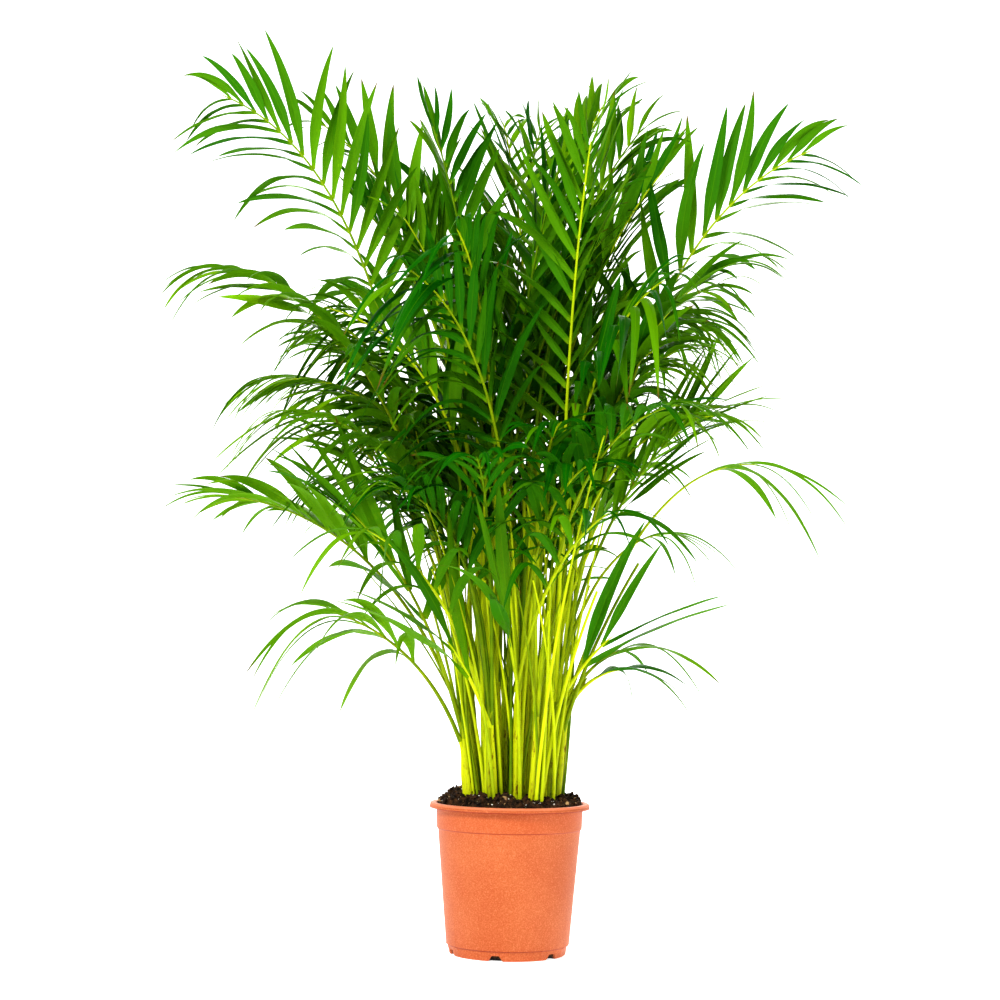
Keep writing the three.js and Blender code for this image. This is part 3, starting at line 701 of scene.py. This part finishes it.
def stem_material(name, dull, bright, flecks):
    material, start = new_material(name)
    across, along = map_axes(start, "stalk")
    number = start.math("FLOOR", across)
    lane = start.add("CombineXYZ", inputs={0: across * 5, 1: along * 6, 2: number * 3.7})
    lines = lane.noise(4.0, 3, 0.6)
    place = object_place(start)
    height = place.axes()[2]
    patches = place.noise(34, 3, 0.6)
    fleck = place.stretched(1, 1, 0.25).noise(260, 3, 0.65)
    tint = (lines * 0.4 + patches * 0.34 + number.drawn() * 0.72).ramp(0.28, 0.9)
    colour = tint.blend(dull, bright)
    colour = (height.ramp(0.42, 0.66) * 0.25).blend(colour, paint(72, 142, 0))
    worn = fleck.ramp(0.5, 0.66) * patches.ramp(0.4, 0.6) * (1 - height.ramp(0.3, 0.46) * 0.8)
    colour = (worn * flecks).blend(colour, paint(104, 60, 10))
    shader = start.add("BsdfPrincipled", inputs={
        "Base Color": colour, "Roughness": 0.34 + lines * 0.22, "Normal": lines.bump(0.0004, 0.5),
        "Specular IOR Level": 0.08, "Subsurface Weight": 0.1, "Subsurface Scale": 0.003,
        "Subsurface Radius": (0.6, 1.0, 0.2),
    })
    start.add("OutputMaterial", inputs={"Surface": shader})
    return material


stalk_finish = stem_material("stalk", paint(78, 114, 0), paint(198, 212, 16), 0.3)
stem_finish = stem_material("stem_sheath", paint(98, 120, 0), paint(200, 208, 16), 1.0)
print("a stalk's finish has", len(stalk_finish.node_tree.nodes), "nodes")

# %% Build the stems

SHEATH_RISE = 0.030
SHEATH_EDGE = 0.38
ROD_RINGS, ROD_SIDES = 64, 12


def stem_rings(foot, top, seed):
    """A stem of radius r = 3.9 to 5 mm.

    It loses 0.38 mm past the slanting edge of each of two sheaths. It gains up to 1 mm where
    it leaves the soil, 40 mm up, by exp(-((height - 40) / 30)^2). It is slightly oval, and
    closes in at its top.
    """
    chance = np.random.default_rng(seed)
    share = np.linspace(0, 1, ROD_RINGS)[:, None]
    path = foot + (top - foot) * share
    height = share * np.linalg.norm(top - foot)
    angle = np.linspace(0, TAU, ROD_SIDES, endpoint=False)
    radius = np.full((ROD_RINGS, ROD_SIDES), chance.uniform(3.9, 5.0))
    for edge in (chance.uniform(0.42, 0.56), chance.uniform(0.68, 0.82)):
        slant = edge + 0.05 * np.sin(angle + chance.uniform(0, TAU))
        radius -= SHEATH_EDGE * ease(share, slant, slant + 0.012)
    radius += 1.0 * np.exp(-((height - 0.04) / 0.03) ** 2)
    radius *= 1 + 0.05 * np.sin(2 * angle + chance.uniform(0, TAU))
    radius *= 1 - 0.35 * ease(share, 0.94, 1.0)
    return swollen(path, radius)


def swollen(path, radius):
    """Rings round a path whose radius, in millimetres, differs from point to point."""
    rim = tube(path, np.ones(len(path)), radius.shape[1])
    return path[:, None] + (rim - path[:, None]) * radius[..., None] * MM


def sleeve_rings(foot, top, frond, seed):
    """A leaf's sheath: it runs up the stem's side to the stalk, wraps its foot and ends there.

    Its radius falls from 3.7 to 2.8 mm, and closes to a tenth over the last twentieth.
    """
    chance = np.random.default_rng(seed)
    stalk = frond["stalk"]
    aside = stalk[0] - top
    aside -= unit(top - foot) * (aside @ unit(top - foot))
    rise = SHEATH_RISE * chance.uniform(0.5, 1.6)
    low = foot + (top - foot) * 0.1 + aside * 0.9
    middle = foot + (top - foot) * 0.6 + aside * 1.3
    end = stalk[0] + unit(stalk[1] - stalk[0]) * rise
    path = smooth_path(np.array([low, middle, stalk[0], end]), ROD_RINGS)
    share = np.linspace(0, 1, ROD_RINGS)[:, None]
    angle = np.linspace(0, TAU, ROD_SIDES, endpoint=False)
    mouth = 1 - 0.9 * ease(share, 0.95 + 0.03 * np.sin(angle + seed), 1.01)
    return swollen(path, (3.7 - 0.9 * ease(share, 0.1, 1.0)) * mouth)


for number, name in enumerate(stem_nodes):
    foot, top = stems[name]
    carried = [frond for frond in fronds.values() if frond["stem"] == name]
    rods = [stem_rings(foot, top, number)]
    rods += [sleeve_rings(foot, top, frond, 100 * number + i) for i, frond in enumerate(carried)]
    points = np.array(rods)
    stalk_map = np.concatenate([length_map(rings, rings.mean(1), 5 * number + i)
                                for i, rings in enumerate(points)])
    maps = {"stalk": stalk_map, "OFBake": strip_map(points)}
    skin(f"stem_{number + 1:02d}", points, maps, stem_finish, [name])
print("built", len(stem_nodes), "stems with", len(fronds), "sheaths")

# %% [markdown]
# ## Spears
#
# Between the open fronds stand the youngest leaves, still folded into thin upright rods, and
# side stems that have no open frond yet. There are too many of them to be nodes of the frame,
# so they are made here, all in one piece. Each leaves the soil beside a stem, follows the
# stem's line and then leans a little away from it.

# %% Spears

SPEARS = 84
SPEAR_LENGTHS = (0.28, 0.52)
SPEAR_SPREAD, SPEAR_LEAN = 13 * MM, 0.042
SPEAR_RINGS, SPEAR_SIDES = 70, 10


def spear(foot, top, seed):
    """A rod along its stem's line, bent by t^2 of its lean, thinning by 1.4 mm of radius."""
    chance = np.random.default_rng(seed)
    share = np.linspace(0, 1, SPEAR_RINGS)[:, None]
    start = foot + chance.uniform(-SPEAR_SPREAD, SPEAR_SPREAD, 3) * [1, 1, 0]
    length = chance.uniform(*SPEAR_LENGTHS)
    lean = chance.normal(0, SPEAR_LEAN, 3) * [1, 0.8, 0]
    path = start + unit(top - foot) * share * length + lean * share**2
    radius = chance.uniform(1.9, 3.3) - 1.4 * ease(share[:, 0], 0.0, 1.1)
    return path, tube(path, radius * MM, SPEAR_SIDES)


rods = [spear(*stems[stem_nodes[i % len(stem_nodes)]], 500 + i) for i in range(SPEARS)]
points = np.array([rings for _, rings in rods])
stalk_map = np.concatenate([length_map(rings, path, 90 + i) for i, (path, rings) in enumerate(rods)])
maps = {"stalk": stalk_map, "OFBake": strip_map(points)}
skin("spears", points, maps, stalk_finish, [])
print(SPEARS, "spears, up to", round(points[..., 2].max() / MM), "mm high")

# %% [markdown]
# ## Leaflets
#
# A leaflet leaves the stalk on a narrow foot, widens into a long blade that is folded like
# a roof along its midrib, and ends in a fine point. A flat card with a leaf drawn on it
# would be lighter, but it has no fold to catch the light and no edge. The frame gives a
# leaflet's root, its widest place and its tip, and one parabola through these three is its
# midrib. Then chance bends it, as weight and growth do: it sways to a side, lifts or hangs,
# and twists, so no two leaflets are alike. Neighbouring leaflets overlap on the plant, which
# solids in the frame may not do, so a blade is made wider than the frame's by a fixed
# factor, up to an eighth of its length.

# %% The shape of a blade

BLADE_RINGS = 18
MIDDLE_RING = 8
SHARE = np.linspace(0, 1, BLADE_RINGS) ** 0.92
# Where a section's points are, from one edge to the other over one face and back over the
# other, and which face they are on.
HALF_SECTION = np.array([1.0, 0.5, 0.0, -0.5, -1.0])
SECTION = np.concatenate([HALF_SECTION, HALF_SECTION[::-1]])
FACE = np.repeat([1.0, -1.0], len(HALF_SECTION))
# The blade's thickness, and the half width below which it is thinner than that.
BLADE_SKIN, THIN_BELOW = 0.22 * MM, 0.01 / 6
# Where along a leaflet the frame puts its blade corners.
FRAME_SHARE = 0.45
# The width as a multiple of the frame's, and the most of a leaflet's length that it may be.
OVERLAP, BROADEST = 1.28, 0.125
# The spread of sway and rise and the deepest hang, as shares of a leaflet's length.
SWAY, RISE, HANG = 0.1, 0.07, 0.5
# The spread of a blade's twist, and how far every blade leans over about its midrib.
TWIST, BANK = 0.7, 0.58
FOLDS = (0.22, 0.46)


def blade_width(t):
    """Half the blade's width as a share of its widest: a narrow foot, then a long taper."""
    return (0.3 + 0.7 * ease(t, 0.0, 0.34)) * np.clip(1 - t**2.3, 0, 1) ** 0.85 + 0.012


def each(values):
    """One number for each leaflet, shaped to multiply its rings."""
    return values[:, None, None]


def blades(frond, seed):
    """Rings for every leaflet of a frond, and which of their points are on the upper side.

    The midrib is root + b t + c t^2, which passes the blade corners' middle at t = 0.45 and
    the tip at t = 1. Sway and rise move it by t^2 of themselves, and hang drops it by t^3, a
    level leaflet most. A point of ring t is midrib + across w x + up (fold w (1 - |x|) +
    wave w |x| + skin), where x runs from 1 to -1 over the top and back underneath. across
    starts along the stalk, turns to the frame's blade by t = 0.3, leans over by t = 0.4, and
    twists by t^1.5.
    """
    chance = np.random.default_rng(seed)
    count = len(frond["tip"])
    root, tip, blade = frond["root"], frond["tip"], frond["blade"]
    # A blade in the frame is a flat roof: its longest span is its width, and the corner that
    # is left is its ridge.
    spans = np.stack([blade[:, (i + 1) % 3] - blade[:, (i + 2) % 3] for i in range(3)], axis=1)
    ridge = np.linalg.norm(spans, axis=2).argmax(1)
    every = np.arange(count)
    widest = spans[every, ridge]
    width = np.linalg.norm(widest, axis=1)
    middle = blade.mean(1) - (blade[every, ridge] - blade.mean(1)) / 2
    over = blade[every, ridge] - middle
    bow = (middle - root - FRAME_SHARE * (tip - root)) / (FRAME_SHARE**2 - FRAME_SHARE)
    lead = tip - root - bow
    t = SHARE[None, :, None]
    midrib = root[:, None] + lead[:, None] * t + bow[:, None] * t**2
    along = unit(lead[:, None] + 2 * bow[:, None] * t)
    stalk_way = unit(np.diff(frond["stalk"], axis=0))[frond["step"]]
    facing = unit(widest)
    facing *= np.sign((facing * stalk_way).sum(-1, keepdims=True) + 1e-9)
    turn_in = ease(t, 0.0, 0.3)
    across = stalk_way[:, None] * (1 - turn_in) + facing[:, None] * turn_in
    across = unit(across - along * (across * along).sum(-1, keepdims=True))
    up = np.cross(along, across)
    upright = each(np.sign((up[:, MIDDLE_RING] * over).sum(-1)))
    length = each(np.linalg.norm(tip - root, axis=1))
    sway = each(chance.normal(0, SWAY, count)) * across * length
    rise = each(chance.normal(0, RISE, count)) * up * length
    level = 1 - unit(tip - root)[:, 2:, None] ** 2
    hang = each(HANG * chance.beta(1.0, 3.4, count)) * level * np.array([0, 0, -1]) * length
    midrib = midrib + (sway + rise) * t**2 + hang * t**3
    twist = each(chance.normal(0, TWIST, count)) * t**1.5 - BANK * upright * ease(t, 0.0, 0.4)
    cos, sin = np.cos(twist), np.sin(twist)
    across, up = across * cos + up * sin, up * cos - across * sin
    broadest = np.minimum(OVERLAP * width, BROADEST * length[:, 0, 0])
    half = (broadest[:, None] * blade_width(SHARE)[None] / 2)[..., None]
    x = SECTION[None, None]
    fold = each(chance.uniform(*FOLDS, count)) * (1 - 0.4 * t)
    wave = 0.05 * np.sin(TAU * 2.5 * t + each(chance.uniform(0, TAU, count))) * abs(x)
    thick = FACE * BLADE_SKIN / 2 * np.minimum(1, half / THIN_BELOW)
    lift = upright * half * (fold * (1 - abs(x)) + wave) + thick
    points = midrib[:, :, None] + across[:, :, None] * (half * x)[..., None]
    points += up[:, :, None] * lift[..., None]
    return points, FACE[None, None] * upright > 0


def blade_map(count, top_side, number):
    """Across: frond number x 100 + leaflet number + place on the blade. Along: 0 to 1 from
    root to tip on the upper side, and 2 more on the underside."""
    place = np.append(SECTION, 1.0) * 0.46 + 0.5
    across = (100 * number + np.arange(count))[:, None] + place
    under = 2.0 * ~top_side[:, 0]
    under = np.concatenate([under, under[:, -1:]], axis=1)
    along = under[:, None] + SHARE[None, :, None]
    return np.stack(np.broadcast_arrays(across[:, None], along), axis=-1)


print("a blade is widest", SHARE[blade_width(SHARE).argmax()].round(2), "of the way to its tip")

# %% [markdown]
# A blade is dark green where it is old and bright yellow-green where it is young, with
# fine veins along it, a pale midrib and now and then a dry brown tip. One number, the
# blade's age together with painted light, drives its colour. The age differs by leaflet, by
# frond and by cloudy patches. Over it light and shade are painted across the plant: the fronds
# that hang out at the sides are painted paler, as if lit through from behind, and those in
# front carry painted shade. The tall one at the left is darker. Light passes through a blade,
# more through a young one, so a share of a Translucent shader is mixed in: a lit leaf glows
# yellow-green from behind.

# %% The finish of leaflets


def leaf_age_and_painted_light(start, leaf, branch):
    """0 for the darkest blades and 1 for the brightest."""
    place = object_place(start)
    x, y, z = place.axes()
    # Painted light: fronds that hang out at the sides are painted paler, as if lit through from
    # behind.
    painted_side_light = abs(x).ramp(0.06, 0.3) * (1 - z.ramp(0.84, 1.06))
    # Painted shade: leaflets in front of the crown are painted darker.
    painted_front_shade = (y * -1).ramp(0.03, 0.2)
    tall = (x * -1).ramp(0.1, 0.3) * z.ramp(0.92, 1.04)
    age_and_painted_light = leaf.drawn() * 0.36 + (branch + 0.5).drawn() * 0.5 + place.noise(9, 2, 0.5) * 0.24
    # Painted light and painted shade are added to the age here, and the tall frond at the upper left
    # is made darker.
    return (age_and_painted_light + painted_side_light * 0.3 - painted_front_shade * 0.24 - tall * 0.16).ramp(0.24, 0.98)


def leaf_material():
    material, start = new_material("leaflet")
    across, along = map_axes(start, "leaf")
    leaf = start.math("FLOOR", across)
    branch = start.math("FLOOR", across * 0.01)
    place = across - leaf
    under = start.math("GREATER_THAN", along, 1.5)
    share = along - under * 2
    lane = start.add("CombineXYZ", inputs={0: place * 26, 1: share * 3.0, 2: leaf * 5.3})
    veins = lane.noise(1.0, 2, 0.5)
    grain = object_place(start).noise(900, 2, 0.6)
    lines = veins.ramp(0.3, 0.7) * 0.3 + grain.ramp(0.36, 0.7) * 0.38
    pale = (leaf + 0.25).drawn().ramp(0.7, 1.0)
    middle = 1 - abs(place - 0.5).ramp(0.012, 0.045)
    foot = 1 - share.ramp(0.0, 0.06)
    dry = share.ramp(0.9, 0.985) * leaf.drawn().ramp(0.62, 0.8)
    # The blade's age, with painted light and painted shade added over the plant, sets its colour and
    # how much light passes through.
    age_and_painted_light = leaf_age_and_painted_light(start, leaf, branch)
    colour = age_and_painted_light.blend(paint(0, 80, 0), paint(140, 184, 10))
    colour = lines.blend(colour, paint(38, 122, 0))
    colour = (pale * 0.5).blend(colour, paint(134, 190, 0))
    colour = (middle * (1 - share * 0.6) * 0.4).blend(colour, paint(112, 168, 0))
    colour = (under * 0.4).blend(colour, paint(62, 130, 10))
    colour = (foot * 0.5).blend(colour, paint(150, 180, 4))
    colour = dry.blend(colour, paint(110, 76, 26))
    height = veins * 0.6 + middle * 0.4
    blade = start.add("BsdfPrincipled", inputs={
        "Base Color": colour, "Roughness": 0.36 + veins * 0.16 + under * 0.14,
        "Normal": height.bump(0.00035, 0.45), "Specular IOR Level": 0.05,
    })
    glow = start.add("BsdfTranslucent", inputs={"Color": paint(98, 190, 0)})
    shader = start.add("MixShader", inputs={0: age_and_painted_light * 0.2 + 0.07, 1: blade, 2: glow})
    start.add("OutputMaterial", inputs={"Surface": shader})
    return material


leaf_finish = leaf_material()
print("a leaflet's finish has", len(leaf_finish.node_tree.nodes), "nodes")

# %% [markdown]
# ## Fronds
#
# A frond is its stalk and its leaflets, two pieces that stand for one node of the frame. The
# stalk is broad where it leaves the stem and thins to a thread at the frond's end.

# %% Build the fronds

STALK_RINGS, STALK_SIDES = 90, 12
# A stalk in the frame has three corners, so the round one is drawn a little wider.
STALK_SIZE, FOOT_SIZE = 1.2 / 1.05, 0.1 / 1.05
THINNEST_STALK = 0.4 * MM


def stalk_rings(frond):
    """A round stalk through the frond's stations.

    Its foot swells by exp(-5 share), and its first ring is drawn in to round the end off.
    """
    path = smooth_path(np.column_stack([frond["stalk"], frond["radius"]]), STALK_RINGS)
    share = np.linspace(0, 1, STALK_RINGS)
    thick = path[:, 3] * (STALK_SIZE + FOOT_SIZE * np.exp(-share * 5))
    thick[0] *= 0.6
    return path[:, :3], tube(path[:, :3], np.maximum(thick, THINNEST_STALK), STALK_SIDES)


def build_frond(frond, number, replaced):
    path, rings = stalk_rings(frond)
    maps = {"stalk": length_map(rings, path, number + 40), "OFBake": strip_map(rings[None])}
    skin(f"stalk_{number + 1:02d}", rings[None], maps, stalk_finish, replaced)
    points, top_side = blades(frond, number)
    maps = {"leaf": blade_map(len(points), top_side, number), "OFBake": strip_map(points)}
    skin(f"leaflets_{number + 1:02d}", points, maps, leaf_finish, replaced)


for number, (name, frond) in enumerate(fronds.items()):
    build_frond(frond, number, [name])
print("built", len(fronds), "stalks and their leaflets")

# %% [markdown]
# ## The inner fronds
#
# A pot holds more fronds than the frame has nodes. The ones deep in the clump are copies of
# the frame's, each turned about the upright line through its foot and moved to the top of
# another stem, where it stands as its model does. Each was chosen for the gap that it fills,
# because an even spread left the plant's front too open.

# %% Turn fronds into the gaps


def turned(frond, degrees, size, stem):
    """A frond turned about its foot by an angle, resized, and moved to another stem's top."""
    turn = np.array(Matrix.Rotation(math.radians(degrees), 3, "Z")).T
    foot = frond["stalk"][0]
    step = stems[stem][1] - stems[frond["stem"]][1]
    moved = {key: foot + step + (frond[key] - foot) @ turn * size
             for key in ("stalk", "tip", "blade", "root")}
    return {**frond, **moved, "stem": stem}


def stem_near(x, y):
    """The stem that leaves the soil nearest to a place given in millimetres."""
    feet = np.array([stems[name][0][:2] for name in stem_nodes])
    return stem_nodes[int(np.linalg.norm(feet - np.array([x, y]) * MM, axis=1).argmin())]


# The frond that is copied, its turn in degrees, its size, and where its stem stands.
INNER_FRONDS = [
    ("frond_09", 18, 0.95, -30, 0), ("frond_09", -12, 0.82, -20, 30),
    ("frond_09", -150, 1.05, 30, 20), ("frond_09", -185, 0.9, 40, -10),
    ("frond_11", 14, 0.85, -30, -10), ("frond_12", -16, 0.8, -45, 20),
    ("frond_20", -50, 0.95, -30, -20), ("frond_20", 70, 1.0, 40, 0),
    ("frond_19", 60, 0.98, 20, 30), ("frond_19", -100, 0.92, -10, 30),
    ("frond_21", 130, 0.95, 30, 40), ("frond_21", 190, 0.9, 0, 50),
    ("frond_21", 240, 1.0, -30, 30), ("frond_22", 35, 0.95, 40, 10),
    ("frond_22", 70, 0.85, 20, 0), ("frond_22", -150, 0.9, -20, 0),
    ("frond_21", 45, 0.86, 20, -40), ("frond_21", -50, 0.95, -30, -40),
    ("frond_22", -38, 0.8, 20, -20), ("frond_22", -100, 0.78, -20, -40),
    ("frond_06", 10, 0.66, 45, 10), ("frond_25", 10, 0.93, 30, 10),
    ("frond_20", 25, 1.08, 0, 10), ("frond_12", -60, 0.9, 0, -20),
    ("frond_11", -140, 1.0, 20, 0), ("frond_17", 172, 0.9, -30, 0),
    ("frond_35", 28, 0.88, 10, 20), ("frond_35", -30, 0.95, -30, 10),
    ("frond_34", 60, 0.95, -10, 10), ("frond_36", -40, 0.9, 30, 20),
    ("frond_36", 50, 0.92, -30, 20), ("frond_37", -20, 1.15, 0, 10),
    ("frond_38", -60, 0.9, 0, 20), ("frond_26", -100, 1.15, 10, 10),
    ("frond_23", -30, 1.05, 0, 10), ("frond_03", 85, 0.92, 20, -40),
    ("frond_18", -130, 1.22, -20, -50), ("frond_18", -105, 1.1, 10, -50),
]
for i, (name, degrees, size, x, y) in enumerate(INNER_FRONDS):
    build_frond(turned(fronds[name], degrees, size, stem_near(x, y)), len(fronds) + i, [])
print("added", len(INNER_FRONDS), "inner fronds")

# %% [markdown]
# ## Stage, light and camera
#
# The photo shows the plant alone on white, lit from the front by large soft lamps. A pale
# sweep serves as floor and backdrop: a bent sheet has no line where floor and wall meet. It
# glows a little, so that it comes out white without lamps so strong that they bleach the plant.

# %% A pale sweep

SWEEP_FRONT, SWEEP_BACK, SWEEP_TOP, SWEEP_HALF = -5.0, 4.0, 6.0, 6.0
SWEEP_BEND = 1.5


def sweep():
    """A floor that bends up into a wall: its outline is a line, a quarter circle and a line."""
    bend = np.linspace(0, math.pi / 2, 24)
    depth = SWEEP_BACK - SWEEP_BEND + SWEEP_BEND * np.sin(bend)
    depth = np.concatenate([[SWEEP_FRONT], depth, [SWEEP_BACK]])
    height = np.concatenate([[0.0], SWEEP_BEND - SWEEP_BEND * np.cos(bend), [SWEEP_TOP]])
    wide = np.linspace(-SWEEP_HALF, SWEEP_HALF, 3)
    points = np.stack(np.broadcast_arrays(wide[None], depth[:, None], height[:, None]), axis=-1)
    index = np.arange(points[..., 0].size).reshape(1, *points.shape[:2])
    mesh = bpy.data.meshes.new("sweep")
    mesh.from_pydata(points.reshape(-1, 3).tolist(), [], corners_of(index).reshape(-1, 4).tolist())
    mesh.polygons.foreach_set("use_smooth", np.ones(len(mesh.polygons), bool))
    material, start = new_material("pale_paper")
    tone = object_place(start).noise(2.0).blend(paint(250, 250, 250), paint(255, 255, 255))
    shader = start.add("BsdfPrincipled", inputs={
        "Base Color": tone, "Roughness": 0.9, "Specular IOR Level": 0.1,
        "Emission Color": (1, 1, 1, 1), "Emission Strength": 0.58,
    })
    start.add("OutputMaterial", inputs={"Surface": shader})
    mesh.materials.append(material)
    floor = bpy.data.objects.new("sweep", mesh)
    bpy.context.scene.collection.objects.link(floor)
    print("the sweep has", len(mesh.polygons), "faces")


sweep()

# %% [markdown]
# The key lamp stands at the left in front, a weaker one fills the right side, and one behind
# shines through the leaves. All are wide discs, which keeps shadows soft. The room around
# them lights everything a little, and is white where the camera looks past the paper.

# %% Lamps


def aim(thing, place, target):
    """Puts a lamp or camera at a place and turns its -Z axis toward a target."""
    way = np.array(place, float) - np.array(target, float)
    back = unit(way)
    right = unit(np.cross([0, 0, 1], back))
    turn = Matrix(np.column_stack([right, np.cross(back, right), back]).tolist())
    thing.matrix_world = Matrix.Translation(place) @ turn.to_4x4()


def lamp(name, place, target, size, power):
    """A disc of light, its size across in metres and its power in watts."""
    data = bpy.data.lights.new(name, "AREA")
    data.shape, data.size, data.energy = "DISK", size, power
    thing = bpy.data.objects.new(name, data)
    bpy.context.scene.collection.objects.link(thing)
    aim(thing, place, target)


lamp("key", (-1.6, -2.6, 2.6), (0, 0, 0.6), 1.1, 114)
lamp("fill", (2.4, -2.0, 1.2), (0, 0, 0.6), 1.8, 32)
lamp("back", (0.3, 2.2, 2.8), (0, 0, 0.7), 1.6, 74)
print("three lamps of", sum(light.energy for light in bpy.data.lights), "watts together")

# %% The room

AMBIENT = 0.27
world = bpy.data.worlds.new("studio")
world.use_nodes = True
room = Wire(world.node_tree)
seen = room.add("LightPath")
strength = room.math("MULTIPLY_ADD", seen, 1 - AMBIENT, AMBIENT)
background = world.node_tree.nodes["Background"]
background.inputs["Color"].default_value = (1, 1, 1, 1)
world.node_tree.links.new(strength.socket, background.inputs["Strength"])
bpy.context.scene.world = world
bpy.context.scene.view_settings.view_transform = "Standard"
bpy.context.scene.view_settings.look = "Medium High Contrast"
print("the room lights the plant at", AMBIENT)

# %% [markdown]
# The camera stands a little above the rim's height and looks slightly up, which shows the
# rim as a narrow ellipse and the crown level. Its place, tilt and lens were fitted to the
# pot's rim, step and base in the photo.

# %% Camera

CAMERA_PLACE = (-0.0187, -2.6, 0.386)
TILT, ROLL = math.radians(4.54), math.radians(0.9)
FOCAL_PIXELS, PICTURE_PIXELS, SENSOR = 1965, 1000, 36
camera_data = bpy.data.cameras.new("camera")
camera_data.sensor_width = SENSOR
camera_data.lens = SENSOR * FOCAL_PIXELS / PICTURE_PIXELS
camera = bpy.data.objects.new("camera", camera_data)
bpy.context.scene.collection.objects.link(camera)
ahead = (CAMERA_PLACE[0], CAMERA_PLACE[1] + 1, CAMERA_PLACE[2] + math.tan(TILT))
aim(camera, CAMERA_PLACE, ahead)
camera.matrix_world = camera.matrix_world @ Matrix.Rotation(ROLL, 4, "Z")
bpy.context.scene.camera = camera
print("the lens is", round(camera_data.lens, 1), "mm")
